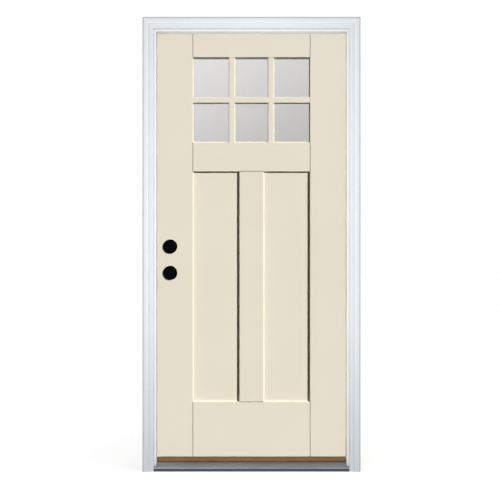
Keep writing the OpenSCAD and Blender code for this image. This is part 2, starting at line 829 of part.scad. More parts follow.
module lock_stile() color("burlywood") difference() {
    plate([-leaf_x, leaf_z0, -core_x, leaf_z1], leaf_y0 + skin_t, leaf_y1 - skin_t);
    at_bores() cross_bore();
    latch_bores();
    for (z = bore_zs) translate([-leaf_x, leaf_ym, z]) latch_seat(1);
    lock_edge_bevel();
}

module hinge_stile() color("burlywood") difference() {
    plate([core_x, leaf_z0, leaf_x, leaf_z1], leaf_y0 + skin_t, leaf_y1 - skin_t);
    hinge_seats();
    for (z = hinge_zs) translate([0, 0, z]) at_door_screws() screw(hinge_screw_l, seat_fit);
}

module top_edge_rail() color("burlywood")
    plate([-core_x, leaf_z1 - edge_head_h, core_x, leaf_z1], leaf_y0 + skin_t, leaf_y1 - skin_t);

module bottom_edge_rail() color("burlywood")
    plate([-core_x, leaf_z0, core_x, leaf_z0 + edge_foot_h], leaf_y0 + skin_t, leaf_y1 - skin_t);

module lock_block() color("burlywood") difference() {
    plate(block_face, leaf_y0 + skin_t, leaf_y1 - skin_t);
    at_bores() cross_bore();
    latch_bores();
}

module foam_core() color("khaki") difference() {
    plate(core_face, leaf_y0 + skin_t, leaf_y1 - skin_t);
    on_both_faces() for (r = panels) tray(r);
    plate(block_face, leaf_y0, leaf_y1);
    plate(dam_edge, leaf_y0, leaf_y1);
}

module glazing_dam() color("white")
    on_outer_face() ring(dam_edge, dam_hole, skin_t, leaf_t - skin_t);

module setting_blocks() color("dimgray") on_outer_face() {
    for (x = [pane[0] + setting_in, pane[2] - setting_in])
        plate([x - setting_l / 2, dam_hole[1], x + setting_l / 2, pane[1]], glass_y, leaf_t - glass_y);
}

module outer_pane() color("lightgray") on_outer_face() plate(pane, glass_y, glass_y + glass_t);

module inner_pane() color("lightgray") on_inner_face() plate(pane, glass_y, glass_y + glass_t);

module pane_spacer() color("gray")
    on_outer_face() ring(pane, grow(pane, -spacer_w), glass_y + glass_t, leaf_t - glass_y - glass_t);

module glazing_tape() {
    tape = grow(sight, (glass_lap - tape_w) / 2);
    ring(grow(tape, tape_w), tape, lip_y, glass_y);
}

module exterior_glazing_tape() color("white") on_outer_face() glazing_tape();

module interior_glazing_tape() color("white") on_inner_face() glazing_tape();

// Section of a glazing bar across its line, from its front to the glass
module bar_section() {
    polygon([
        [bar_run - bar_w / 2, bar_drop], [bar_w / 2 - bar_run, bar_drop], [bar_w / 2, glass_y - bar_foot],
        [bar_w / 2, glass_y], [-bar_w / 2, glass_y], [-bar_w / 2, glass_y - bar_foot]
    ]);
}

// Bars of one face, coped against the moulding round the lites
module grille() {
    intersection() {
        union() {
            sloped_plate(grow(lite, -bar_fit), 0, panel_drop, moulding_run);
            plate(grow(sight, -bar_fit), 0, leaf_t / 2);
        }
        union() {
            if (lite_cols > 1) for (i = [1 : lite_cols - 1])
                along_z(lite[1], lite[3])
                    translate([lite[0] + i * (lite[2] - lite[0]) / lite_cols, 0]) bar_section();
            if (lite_rows > 1) for (i = [1 : lite_rows - 1])
                along_x(lite[0], lite[2])
                    translate([0, lite[1] + i * (lite[3] - lite[1]) / lite_rows])
                        rotate(90) mirror([0, 1]) bar_section();
        }
    }
}

module exterior_grille() color("antiquewhite") on_outer_face() grille();

module interior_grille() color("antiquewhite") on_inner_face() grille();

// Flat round cover with a broken edge and a shallow hollow behind, over one bore on the outer face
module bore_cover(z) color([0.04, 0.04, 0.04]) translate([bore_x, leaf_y0, z]) rotate([90, 0, 0]) {
    seat_r = (cover_d + bore_d) / 4;
    rotate_extrude() polygon([
        [0, cover_dish], [seat_r, cover_dish], [seat_r, 0], [cover_d / 2, 0],
        [cover_d / 2, cover_t - cover_chamfer], [cover_d / 2 - cover_chamfer, cover_t], [0, cover_t]
    ]);
}

module lock_bore_cover() bore_cover(bore_zs[0]);

module deadbolt_bore_cover() bore_cover(bore_zs[1]);

// Sweep under the leaf: a flat base and the fins that brush the cap
module door_sweep() color("dimgray") {
    y0 = leaf_y0 + sweep_in;
    y1 = min(leaf_y1 - sweep_in, cap_y1 - cap_r);
    along_x(edge_bevel - leaf_x, leaf_x - edge_bevel) {
        translate([y0, leaf_z0 - sweep_base_t]) square([y1 - y0, sweep_base_t]);
        for (i = [0 : fin_n - 1])
            translate([y0 + i * (y1 - y0 - fin_t) / (fin_n - 1), cap_top + seal_clear])
                square([fin_t, sweep_gap - seal_clear - sweep_base_t / 2]);
    }
}

strike_jamb();
hinge_jamb();
head_jamb();
strike_brick_mould();
hinge_brick_mould();
head_brick_mould();
strike_weatherstrip();
hinge_weatherstrip();
head_weatherstrip();
strike_corner_pad();
hinge_corner_pad();
sill_base();
sill_tread();
sill_cap();
jack_screws();
frame_screws();
hinge_jamb_leaf(hinge_zs[0]);  // top_hinge_jamb_leaf
hinge_jamb_leaf(hinge_zs[1]);  // middle_hinge_jamb_leaf
hinge_jamb_leaf(hinge_zs[2]);  // bottom_hinge_jamb_leaf
hinge_pin(hinge_zs[0]);  // top_hinge_pin
hinge_pin(hinge_zs[1]);  // middle_hinge_pin
hinge_pin(hinge_zs[2]);  // bottom_hinge_pin
hinge_jamb_screws();
hinge_door_leaf(hinge_zs[0]);  // top_hinge_door_leaf
hinge_door_leaf(hinge_zs[1]);  // middle_hinge_door_leaf
hinge_door_leaf(hinge_zs[2]);  // bottom_hinge_door_leaf
hinge_door_screws();
exterior_skin();
interior_skin();
lock_stile();
hinge_stile();
top_edge_rail();
bottom_edge_rail();
lock_block();
foam_core();
glazing_dam();
setting_blocks();
outer_pane();
inner_pane();
pane_spacer();
exterior_glazing_tape();
interior_glazing_tape();
exterior_grille();
interior_grille();
lock_bore_cover();
deadbolt_bore_cover();
door_sweep();
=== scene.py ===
import json
import math

import bmesh
import bpy
import numpy as np
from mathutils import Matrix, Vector

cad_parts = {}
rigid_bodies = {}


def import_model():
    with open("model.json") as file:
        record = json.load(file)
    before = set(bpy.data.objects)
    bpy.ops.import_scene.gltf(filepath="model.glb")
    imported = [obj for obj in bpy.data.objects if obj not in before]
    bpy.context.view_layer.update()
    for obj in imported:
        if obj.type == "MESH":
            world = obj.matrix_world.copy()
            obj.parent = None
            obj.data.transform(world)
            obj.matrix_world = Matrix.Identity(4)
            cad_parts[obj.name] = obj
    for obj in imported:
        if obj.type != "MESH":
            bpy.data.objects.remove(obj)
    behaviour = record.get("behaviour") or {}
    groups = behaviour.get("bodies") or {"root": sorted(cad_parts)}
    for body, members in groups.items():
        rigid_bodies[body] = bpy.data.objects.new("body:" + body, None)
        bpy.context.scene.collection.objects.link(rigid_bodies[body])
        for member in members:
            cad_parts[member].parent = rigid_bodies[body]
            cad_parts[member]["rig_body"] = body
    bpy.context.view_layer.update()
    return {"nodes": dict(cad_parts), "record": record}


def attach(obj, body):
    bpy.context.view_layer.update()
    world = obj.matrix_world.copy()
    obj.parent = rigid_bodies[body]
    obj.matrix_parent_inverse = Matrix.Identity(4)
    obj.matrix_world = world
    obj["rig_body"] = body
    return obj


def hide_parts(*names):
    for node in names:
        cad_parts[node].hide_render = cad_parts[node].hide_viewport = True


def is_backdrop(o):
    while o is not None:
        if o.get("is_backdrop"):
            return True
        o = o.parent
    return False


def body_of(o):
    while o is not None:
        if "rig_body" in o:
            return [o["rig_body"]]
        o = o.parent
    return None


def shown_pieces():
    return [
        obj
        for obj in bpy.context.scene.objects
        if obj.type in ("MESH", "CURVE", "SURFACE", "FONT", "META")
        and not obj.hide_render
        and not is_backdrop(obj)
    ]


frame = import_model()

nodes = frame["nodes"]
print("frame loaded:", len(nodes), "nodes")


# nodes of materials and groups

def feed(tree, socket, value):
    # a socket is linked, a plain value is set
    if isinstance(value, bpy.types.NodeSocket):
        tree.links.new(value, socket)
    else:
        socket.default_value = value


def place(tree, kind, settings, *inputs):
    # inputs are pairs of socket name or number and value
    node = tree.nodes.new(kind)
    for key, value in settings.items():
        setattr(node, key, value)
    for key, value in inputs:
        feed(tree, node.inputs[key], value)
    return node


def calc(tree, operation, *values):
    node = place(tree, "ShaderNodeMath", {"operation": operation}, *enumerate(values))
    return node.outputs[0]


def weigh(tree, first, share, second):
    # first times share plus second times the rest
    return calc(tree, "ADD", calc(tree, "MULTIPLY", first, share), calc(tree, "MULTIPLY", second, 1 - share))


def rangeOf(tree, value, low, high, toLow=0.0, toHigh=1.0):
    # low to high becomes toLow to toHigh, and holds beyond them
    node = place(tree, "ShaderNodeMapRange", {"clamp": True}, (0, value), (1, low), (2, high),
                 (3, toLow), (4, toHigh))
    return node.outputs[0]


def mixColours(tree, share, first, second):
    node = place(tree, "ShaderNodeMix", {"data_type": "RGBA"}, (0, share), (6, first), (7, second))
    return node.outputs[2]


def bumpFrom(tree, height, distance):
    node = place(tree, "ShaderNodeBump", {}, ("Strength", 1.0), ("Distance", distance), ("Height", height))
    return node.outputs[0]


def objectAxes(tree):
    # the X, Y and Z of object coordinates
    where = tree.nodes.new("ShaderNodeTexCoord").outputs["Object"]
    return place(tree, "ShaderNodeSeparateXYZ", {}, (0, where)).outputs


def stretchedNoise(tree, stretch, scale, detail, roughness=0.5):
    # noise on object coordinates, each axis scaled by stretch
    where = tree.nodes.new("ShaderNodeTexCoord").outputs["Object"]
    stretched = place(tree, "ShaderNodeMapping", {}, ("Vector", where), ("Scale", stretch)).outputs[0]
    noise = place(tree, "ShaderNodeTexNoise", {}, ("Vector", stretched), ("Scale", scale),
                  ("Detail", detail), ("Roughness", roughness))
    return noise.outputs[0]


def meshShare(tree, name):
    # a named share that the mesh carries, 0 to 1
    return place(tree, "ShaderNodeAttribute", {"attribute_name": name}).outputs["Fac"]


def newGroup(name, inputs, outputs):
    group = bpy.data.node_groups.new(name, "ShaderNodeTree")
    for label, value in inputs.items():
        socket = group.interface.new_socket(label, in_out="INPUT", socket_type="NodeSocketFloat")
        socket.default_value = value
    for label in outputs:
        group.interface.new_socket(label, in_out="OUTPUT", socket_type="NodeSocketFloat")
    return group, group.nodes.new("NodeGroupInput").outputs, group.nodes.new("NodeGroupOutput").inputs


def makePaintFilm():
    # Height: fine orange peel plus a slower ripple; Tone: slow patches, 0 to 1
    group, given, out = newGroup("paintFilm", {"Peel Scale": 420.0, "Patch Scale": 2.5}, ["Height", "Tone"])
    peel = stretchedNoise(group, (1, 1, 1), scale=given["Peel Scale"], detail=2.0)
    ripple = stretchedNoise(group, (1, 1, 0.4), scale=45.0, detail=1.0)
    patches = stretchedNoise(group, (1, 1, 1), scale=given["Patch Scale"], detail=3.0)
    feed(group, out["Height"], weigh(group, peel, share=0.6, second=ripple))
    feed(group, out["Tone"], rangeOf(group, patches, low=0.35, high=0.65))
    return group


def makeFootShade():
    # Mask of painted shade: 1 at the low height, 0 at the high one, broken up by noise
    group, given, out = newGroup("footShade", {"Low": 0.0, "High": 1.6, "Breakup": 0.25}, ["Mask"])
    fall = rangeOf(group, objectAxes(group)["Z"], given["Low"], given["High"], toLow=1.0, toHigh=0.0)
    noise = stretchedNoise(group, (1, 1, 0.3), scale=9.0, detail=4.0)
    cloud = calc(group, "MULTIPLY", noise, given["Breakup"])
    rest = calc(group, "SUBTRACT", 1.0, given["Breakup"])
    feed(group, out["Mask"], calc(group, "MULTIPLY", fall, calc(group, "ADD", rest, cloud)))
    return group


def makeCornerGrimeShade():
    # Mask of dirt and painted contact shadow: rises from 0 to 1 over one span of depth and one of height,
    # broken up by noise
    spans = {"Y From": 0.0, "Y To": 0.1, "Z From": 0.1, "Z To": 0.0}
    group, given, out = newGroup("cornerGrimeShade", spans, ["Mask"])
    axes = objectAxes(group)
    inward = rangeOf(group, axes["Y"], given["Y From"], given["Y To"])
    low = rangeOf(group, axes["Z"], given["Z From"], given["Z To"])
    noise = stretchedNoise(group, (0.3, 1, 1), scale=60.0, detail=4.0)
    cloud = rangeOf(group, noise, low=0.3, high=0.7, toLow=0.6, toHigh=1.0)
    feed(group, out["Mask"], calc(group, "MULTIPLY", calc(group, "MULTIPLY", inward, low), cloud))
    return group


def makeDrawnLines():
    # Streak: fine lines along X, 0 to 1; Blotch: broad stains, 0 to 1
    group, given, out = newGroup("drawnLines", {"Line Scale": 900.0}, ["Streak", "Blotch"])
    lines = stretchedNoise(group, (0.004, 1, 1), scale=given["Line Scale"], detail=3.0, roughness=0.6)
    blotch = stretchedNoise(group, (0.4, 1, 1), scale=14.0, detail=4.0)
    feed(group, out["Streak"], rangeOf(group, lines, low=0.3, high=0.7))
    feed(group, out["Blotch"], rangeOf(group, blotch, low=0.35, high=0.7))
    return group


def makeTimberGrain(name, stretch):
    # Ring: bands of early and late wood; Fibre: fine lines along the grain
    group, given, out = newGroup(name, {"Ring Scale": 60.0}, ["Ring", "Fibre"])
    bandCount = 40.0
    bands = stretchedNoise(group, stretch, scale=given["Ring Scale"], detail=3.0, roughness=0.55)
    wave = calc(group, "SINE", calc(group, "MULTIPLY", bands, bandCount))
    fibre = stretchedNoise(group, stretch, scale=900.0, detail=2.0, roughness=0.6)
    feed(group, out["Ring"], rangeOf(group, wave, low=-1.0, high=1.0))
    feed(group, out["Fibre"], rangeOf(group, fibre, low=0.3, high=0.7))
    return group


paintFilm = makePaintFilm()
footShade = makeFootShade()
cornerGrimeShade = makeCornerGrimeShade()
drawnLines = makeDrawnLines()
grainUp = makeTimberGrain("grainUp", (1, 1, 0.03))
grainAcross = makeTimberGrain("grainAcross", (0.03, 1, 1))


def useGroup(tree, group, **values):
    node = tree.nodes.new("ShaderNodeGroup")
    node.node_tree = group
    for key, value in values.items():
        feed(tree, node.inputs[key.replace("_", " ")], value)
    return node.outputs


# finishes

def newFinish(name, **values):
    # a Principled material with plain values on its own sockets
    material = bpy.data.materials.new(name)
    material.use_nodes = True
    tree = material.node_tree
    shader = tree.nodes["Principled BSDF"]
    for key, value in values.items():
        shader.inputs[key.replace("_", " ")].default_value = value
    return material, tree, shader.inputs


def rgb(red, green, blue):
    # screen colour of 0 to 255 as linear light, by the sRGB curve
    share = np.array([red, green, blue]) / 255.0
    linear = np.where(share <= 0.04045, share / 12.92, ((share + 0.055) / 1.055) ** 2.4)
    return (*[float(v) for v in linear], 1.0)


def filmSurface(tree, sockets, film, roughness, deep):
    # the film's height gives the gloss and the bump
    glossy, dull = roughness
    gloss = rangeOf(tree, film["Height"], low=0.3, high=0.7, toLow=glossy, toHigh=dull)
    feed(tree, sockets["Roughness"], gloss)
    feed(tree, sockets["Normal"], bumpFrom(tree, film["Height"], deep))


leafPaint = {
    "clean": rgb(229, 221, 203), "patch": rgb(227, 219, 200), "paintedShade": rgb(190, 182, 165),
    "dirtAndShade": rgb(60, 44, 22), "dirtShadeFull": 0.8, "dirtShadeShare": 0.95,
    "specular": 0.3, "roughness": (0.46, 0.54), "peel": 380.0, "deep": 3e-5,
}


def leafPaintFinish():
    # satin cream, with dirt and painted shade in the joint lines where the mesh carries a crevice share
    # and painted shade on the slopes that face the key light, where it carries a slope share
    look = leafPaint
    material, tree, sockets = newFinish("leafPaint", Specular_IOR_Level=look["specular"])
    film = useGroup(tree, paintFilm, Peel_Scale=look["peel"])
    clean = mixColours(tree, film["Tone"], look["clean"], look["patch"])
    # painted shade on the slopes that face the key light
    shaded = mixColours(tree, meshShare(tree, "slopeShade"), clean, look["paintedShade"])
    # dirt and painted shade in the joint grooves
    dirtAndShade = rangeOf(tree, meshShare(tree, "crevice"), 0.0, look["dirtShadeFull"], 0.0, look["dirtShadeShare"])
    feed(tree, sockets["Base Color"], mixColours(tree, dirtAndShade, shaded, look["dirtAndShade"]))
    filmSurface(tree, sockets, film, look["roughness"], look["deep"])
    return material


jambPrimer = {
    "clean": rgb(249, 250, 251), "patch": rgb(245, 247, 248), "specular": 0.3, "roughness": (0.5, 0.58),
    "peel": 300.0, "rings": 30.0, "fibreShare": 0.6, "deep": 5e-5,
}


def jambPaintFinish():
    # white primer over timber, with the grain just telegraphing
    look = jambPrimer
    material, tree, sockets = newFinish("jambPrimer", Specular_IOR_Level=look["specular"])
    film = useGroup(tree, paintFilm, Peel_Scale=look["peel"])
    grain = useGroup(tree, grainUp, Ring_Scale=look["rings"])
    feed(tree, sockets["Base Color"], mixColours(tree, film["Tone"], look["clean"], look["patch"]))
    feed(tree, sockets["Roughness"], rangeOf(tree, grain["Fibre"], 0.0, 1.0, *look["roughness"]))
    height = weigh(tree, grain["Fibre"], look["fibreShare"], film["Height"])
    feed(tree, sockets["Normal"], bumpFrom(tree, height, look["deep"]))
    return material


mouldPaint = {
    "clean": rgb(231, 236, 240), "patch": rgb(228, 233, 238), "highlit": rgb(249, 252, 254),
    "paintedShade": rgb(214, 220, 226), "shadeLow": -0.3, "shadeHigh": 0.7, "breakup": 0.12, "dirtAndShade": rgb(190, 193, 197),
    "specular": 0.14, "roughness": (0.4, 0.5), "peel": 260.0, "deep": 3e-5,
}


def mouldPaintFinish():
    # cool white satin, with painted shade greying it towards its foot and along the outer round edge,
    # and a painted highlight on the bead and on the side towards the leaf
    look = mouldPaint
    material, tree, sockets = newFinish("mouldPaint", Specular_IOR_Level=look["specular"])
    film = useGroup(tree, paintFilm, Peel_Scale=look["peel"])
    # painted shade, darker towards the foot
    paintedShade = useGroup(tree, footShade, Low=look["shadeLow"], High=look["shadeHigh"], Breakup=look["breakup"])
    clean = mixColours(tree, film["Tone"], look["clean"], look["patch"])
    # painted highlight on the bead and on the side towards the leaf
    highlit = mixColours(tree, meshShare(tree, "paintedHighlight"), clean, look["highlit"])
    shaded = mixColours(tree, paintedShade["Mask"], highlit, look["paintedShade"])
    # painted shade along the outer round edge
    feed(tree, sockets["Base Color"], mixColours(tree, meshShare(tree, "edgeShade"), shaded, look["dirtAndShade"]))
    filmSurface(tree, sockets, film, look["roughness"], look["deep"])
    return material


coverPaint = {
    "clean": rgb(2, 2, 3), "patch": rgb(5, 5, 6), "specular": 0.03, "roughness": (0.41, 0.49),
    "peel": 900.0, "deep": 3e-5,
}


def coverFinish():
    # black, drifting to a paler black in slow patches
    look = coverPaint
    material, tree, sockets = newFinish("coverBlack", Specular_IOR_Level=look["specular"])
    film = useGroup(tree, paintFilm, Peel_Scale=look["peel"])
    feed(tree, sockets["Base Color"], mixColours(tree, film["Tone"], look["clean"], look["patch"]))
    filmSurface(tree, sockets, film, look["roughness"], look["deep"])
    return material


def foamFinish(name, colour, shade, cells, deep):
    # open cells: noise in height and tone
    material, tree, sockets = newFinish(name, Roughness=0.85, Specular_IOR_Level=0.2)
    noise = stretchedNoise(tree, (1, 1, 1), scale=cells, detail=3.0, roughness=0.6)
    tone = rangeOf(tree, noise, low=0.35, high=0.65)
    feed(tree, sockets["Base Color"], mixColours(tree, tone, shade, colour))
    feed(tree, sockets["Normal"], bumpFrom(tree, noise, deep))
    return material


drawnMetal = {"streakShare": 0.6, "glossier": 0.07, "duller": 0.09, "deep": 2e-5}


def drawnSurface(tree, sockets, lines, roughness):
    # drawing lines give tone, gloss and height, and broad stains join in the tone
    look = drawnMetal
    drawn = useGroup(tree, drawnLines, Line_Scale=lines)
    tone = weigh(tree, drawn["Streak"], look["streakShare"], drawn["Blotch"])
    gloss = rangeOf(tree, tone, 0.0, 1.0, roughness - look["glossier"], roughness + look["duller"])
    feed(tree, sockets["Roughness"], gloss)
    feed(tree, sockets["Normal"], bumpFrom(tree, drawn["Streak"], look["deep"]))
    return tone


def drawnMetalFinish(name, bright, dull, roughness, lines):
    # bare metal, bright to dull by its drawing lines and stains
    material, tree, sockets = newFinish(name, Metallic=1.0)
    tone = drawnSurface(tree, sockets, lines, roughness)
    feed(tree, sockets["Base Color"], mixColours(tree, tone, bright, dull))
    return material


treadMetal = {
    "bright": rgb(148, 154, 165), "dull": rgb(123, 129, 139), "metallic": 0.6, "roughness": 0.42,
    "lines": 900.0, "grimeAndShade": rgb(131, 132, 135), "grimeShadeY": (0.0, 0.062), "grimeShadeZ": (0.06, 0.05),
    "ends": rgb(158, 163, 172), "strikeLight": (-0.455, -0.28), "hingeLight": (0.2, 0.45), "hingeLightShare": 0.4,
}


def treadFinish():
    # drawn aluminium, dulled along the cap by dirt and painted contact shadow, and paler at both ends as
    # painted light
    look = treadMetal
    material, tree, sockets = newFinish("treadMetal", Metallic=look["metallic"])
    tone = drawnSurface(tree, sockets, look["lines"], look["roughness"])
    grimeAndShade = useGroup(tree, cornerGrimeShade, Y_From=look["grimeShadeY"][0], Y_To=look["grimeShadeY"][1],
                     Z_From=look["grimeShadeZ"][0], Z_To=look["grimeShadeZ"][1])
    clean = mixColours(tree, tone, look["bright"], look["dull"])
    # dirt and painted contact shadow along the cap
    grimyShaded = mixColours(tree, grimeAndShade["Mask"], clean, look["grimeAndShade"])
    # painted light: paler towards both ends of the tread
    across = objectAxes(tree)["X"]
    strikeLight = rangeOf(tree, across, *look["strikeLight"], toLow=1.0, toHigh=0.0)
    hingeLight = rangeOf(tree, across, *look["hingeLight"], toLow=0.0, toHigh=look["hingeLightShare"])
    ends = calc(tree, "ADD", strikeLight, hingeLight)
    feed(tree, sockets["Base Color"], mixColours(tree, ends, grimyShaded, look["ends"]))
    return material


timber = {"ringShare": 0.65, "duller": 0.12, "deep": 6e-5}


def grainSurface(tree, sockets, group, rings, roughness):
    # rings give most of the tone, fibres the gloss and the height
    look = timber
    grain = useGroup(tree, group, Ring_Scale=rings)
    gloss = rangeOf(tree, grain["Fibre"], 0.0, 1.0, roughness, roughness + look["duller"])
    feed(tree, sockets["Roughness"], gloss)
    feed(tree, sockets["Normal"], bumpFrom(tree, grain["Fibre"], look["deep"]))
    return weigh(tree, grain["Ring"], look["ringShare"], grain["Fibre"])


def timberFinish(name, group, light, dark, roughness, rings):
    # bare timber, light to dark by its grain
    material, tree, sockets = newFinish(name, Specular_IOR_Level=0.3)
    tone = grainSurface(tree, sockets, group, rings, roughness)
    feed(tree, sockets["Base Color"], mixColours(tree, tone, light, dark))
    return material


capStain = {
    "light": rgb(171, 124, 77), "dark": rgb(135, 95, 55), "specular": 0.25, "roughness": 0.42, "rings": 90.0,
    "ends": rgb(112, 98, 70), "endSpan": (0.43, 0.452),
    "grimeAndShade": rgb(46, 33, 23), "grimeShadeY": (-1.0, -0.9), "grimeShadeZ": (0.034, 0.0295),
}


def capFinish():
    # brown stain over grain, darker along the foot where it meets the tread, as dirt and painted contact
    # shadow, and dull at its ends
    look = capStain
    material, tree, sockets = newFinish("capStain", Specular_IOR_Level=look["specular"])
    tone = grainSurface(tree, sockets, grainAcross, look["rings"], look["roughness"])
    grimeAndShade = useGroup(tree, cornerGrimeShade, Y_From=look["grimeShadeY"][0], Y_To=look["grimeShadeY"][1],
                     Z_From=look["grimeShadeZ"][0], Z_To=look["grimeShadeZ"][1])
    clean = mixColours(tree, tone, look["light"], look["dark"])
    ends = rangeOf(tree, calc(tree, "ABSOLUTE", objectAxes(tree)["X"]), *look["endSpan"])
    stained = mixColours(tree, ends, clean, look["ends"])
    feed(tree, sockets["Base Color"], mixColours(tree, grimeAndShade["Mask"], stained, look["grimeAndShade"]))
    return material


paneGlass = {
    "clear": (0.785, 0.78, 0.776, 1), "patch": (0.775, 0.77, 0.765, 1), "patches": 4.0, "index": 1.5,
}


def glassFinish():
    # clear coated glass, whose tint drifts a little in slow patches
    look = paneGlass
    material, tree, sockets = newFinish("paneGlass", Roughness=0.0, IOR=look["index"],
                                        Transmission_Weight=1.0)
    film = useGroup(tree, paintFilm, Patch_Scale=look["patches"])
    feed(tree, sockets["Base Color"], mixColours(tree, film["Tone"], look["clear"], look["patch"]))
    return material


finishes = {
    "jamb_white": jambPaintFinish(),
    "mould_white": mouldPaintFinish(),
    "weatherstrip": foamFinish("sealFoam", rgb(226, 226, 224), rgb(212, 212, 210), cells=700.0, deep=5e-5),
    "corner_pad": foamFinish("cornerFoam", rgb(62, 62, 64), rgb(38, 38, 40), cells=900.0, deep=2e-4),
    "sill_composite": foamFinish("sillComposite", rgb(88, 96, 106), rgb(74, 81, 90), cells=1200.0, deep=4e-5),
    "tread_metal": treadFinish(),
    "cap_brown": capFinish(),
    "screw_steel": drawnMetalFinish("screwZinc", rgb(200, 200, 198), rgb(160, 160, 160),
                                    roughness=0.32, lines=1500.0),
    "hinge_steel": drawnMetalFinish("hingeNickel", rgb(205, 202, 196), rgb(172, 169, 163),
                                    roughness=0.3, lines=1400.0),
    "leaf_cream": leafPaintFinish(),
    "edge_timber": timberFinish("edgeTimber", grainUp, rgb(192, 161, 119), rgb(158, 124, 85),
                                roughness=0.6, rings=45.0),
    "edge_composite": foamFinish("edgeComposite", rgb(196, 188, 170), rgb(178, 170, 152),
                                 cells=800.0, deep=6e-5),
    "foam": foamFinish("coreFoam", rgb(238, 224, 176), rgb(222, 206, 152), cells=1100.0, deep=2e-4),
    "dam_plastic": foamFinish("damPlastic", rgb(232, 232, 228), rgb(224, 224, 220), cells=500.0, deep=3e-5),
    "setting_rubber": foamFinish("settingRubber", rgb(40, 40, 40), rgb(28, 28, 28), cells=900.0, deep=6e-5),
    "pane_glass": glassFinish(),
    "spacer_metal": drawnMetalFinish("spacerMetal", rgb(196, 196, 198), rgb(170, 170, 172),
                                     roughness=0.35, lines=1200.0),
    "glazing_tape": foamFinish("glazingTape", rgb(232, 231, 226), rgb(220, 219, 214),
                               cells=1000.0, deep=5e-5),
    "cover_black": coverFinish(),
    "sweep_rubber": foamFinish("sweepRubber", rgb(140, 126, 94), rgb(118, 106, 78), cells=900.0, deep=5e-5),
}
for row in frame["record"]["subparts"]:
    mesh = nodes[row["node"]].data
    mesh.materials.clear()
    mesh.materials.append(finishes[row["material_slot"]])
print("finishes made:", len(finishes))


# meshes from arrays, in mm

meshing = {
    "metre": 0.001, "weld": 2e-6, "sharp": 34.0, "decimals": 3, "lineGap": 0.06, "lineSlack": 1e-6,
    "bend": 1e-4, "near": 1e-3,
}


def gridFaces(rows, cols, closed=False):
    # one quad per cell of a rows by cols grid of points, counted row by row
    row, col = np.meshgrid(np.arange(rows - 1), np.arange(cols if closed else cols - 1), indexing="ij")
    after = (col + 1) % cols
    here, beyond = row * cols, (row + 1) * cols
    return np.stack([here + col, here + after, beyond + after, beyond + col], -1).reshape(-1, 4)


def arc(centre, radius, start, end, steps):
    # points at centre plus radius times cosine and sine, from one angle to another, in degrees
    turn = np.radians(np.linspace(start, end, steps + 1))
    return np.stack([centre[0] + radius * np.cos(turn), centre[1] + radius * np.sin(turn)], -1)


def putPiece(name, points, groups, body, slot, *replaced, shares=None):
    # groups are arrays of faces with equal numbers of corners
    # shares are named attributes, one value for each point
    corners = np.concatenate([g.ravel() for g in groups]).astype(np.int32)
    counts = np.concatenate([np.full(len(g), g.shape[1]) for g in groups])
    mesh = bpy.data.meshes.new(name)
    mesh.vertices.add(len(points))
    mesh.vertices.foreach_set("co", (points * meshing["metre"]).astype(np.float32).ravel())
    mesh.loops.add(len(corners))
    mesh.loops.foreach_set("vertex_index", corners)
    mesh.polygons.add(len(counts))
    mesh.polygons.foreach_set("loop_start", np.concatenate([[0], np.cumsum(counts)[:-1]]).astype(np.int32))
    mesh.update(calc_edges=True)
    for label, values in (shares or {}).items():
        layer = mesh.attributes.new(label, "FLOAT", "POINT")
        layer.data.foreach_set("value", values.astype(np.float32))
    mesh.validate()
    work = bmesh.new()
    work.from_mesh(mesh)
    bmesh.ops.remove_doubles(work, verts=work.verts, dist=meshing["weld"])
    bmesh.ops.recalc_face_normals(work, faces=work.faces)
    work.to_mesh(mesh)
    work.free()
    mesh.polygons.foreach_set("use_smooth", np.ones(len(mesh.polygons), bool))
    mesh.set_sharp_from_angle(angle=math.radians(meshing["sharp"]))
    mesh.materials.append(finishes[slot])
    piece = bpy.data.objects.new(name, mesh)
    bpy.context.scene.collection.objects.link(piece)
    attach(piece, body)
    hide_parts(*replaced)
    print(name, "has", len(mesh.polygons), "faces")


def closeSheet(front, back, groups):
    # two sheets with the same faces, and a wall along every edge that only one face uses
    count = len(front)
    edges = np.concatenate([np.stack([g, np.roll(g, -1, axis=1)], -1).reshape(-1, 2) for g in groups])
    keys = np.sort(edges, axis=1) @ np.array([count, 1])
    _, firstUse, uses = np.unique(keys, return_index=True, return_counts=True)
    rim = edges[firstUse[uses == 1]]
    walls = np.stack([rim[:, 1], rim[:, 0], rim[:, 0] + count, rim[:, 1] + count], -1)
    turned = [g[:, ::-1] + count for g in groups]
    return np.concatenate([front, back]), [*groups, *turned, walls]


def cleanLines(parts, low, high):
    # sorted grid lines without near doubles
    lines = np.unique(np.round(np.concatenate([np.atleast_1d(p) for p in parts]), meshing["decimals"]))
    lines = lines[(lines >= low - meshing["lineSlack"]) & (lines <= high + meshing["lineSlack"])]
    return lines[np.concatenate([[True], np.diff(lines) > meshing["lineGap"]])]


def creaseCells(quads, depth):
    # a bent cell becomes two triangles along the diagonal whose ends differ most
    a, b, c, d = (depth[quads[:, i]] for i in range(4))
    bent = np.abs(a + c - b - d) > meshing["bend"]
    along = np.abs(a - c) >= np.abs(b - d)
    first = quads[bent & along]
    second = quads[bent & ~along]
    halves = [first[:, [0, 1, 2]], first[:, [0, 2, 3]], second[:, [1, 2, 3]], second[:, [1, 3, 0]]]
    return [quads[~bent], np.concatenate(halves)]


def insideBy(x, z, box):
    # distance inside a rectangle, to its nearest side
    return np.minimum(np.minimum(x - box[0], box[2] - x), np.minimum(z - box[1], box[3] - z))


def slopeLine(run, drop, arris, fillet, steps):
    # distances in and depths: a round arris, a straight slope of drop over run, a round fillet
    # each round starts its radius times the tangent of half the lean beside its corner
    lean = math.atan2(drop, run)
    top = arris * math.tan(lean / 2)
    low = fillet * math.tan(lean / 2)
    turn = np.linspace(0, lean, steps + 1)
    upper = np.stack([-top + arris * np.sin(turn), arris * (1 - np.cos(turn))], -1)
    lower = np.stack([run + low - fillet * np.sin(turn), drop - fillet * (1 - np.cos(turn))], -1)[::-1]
    return np.concatenate([upper, lower])


# moulded faces of the leaf

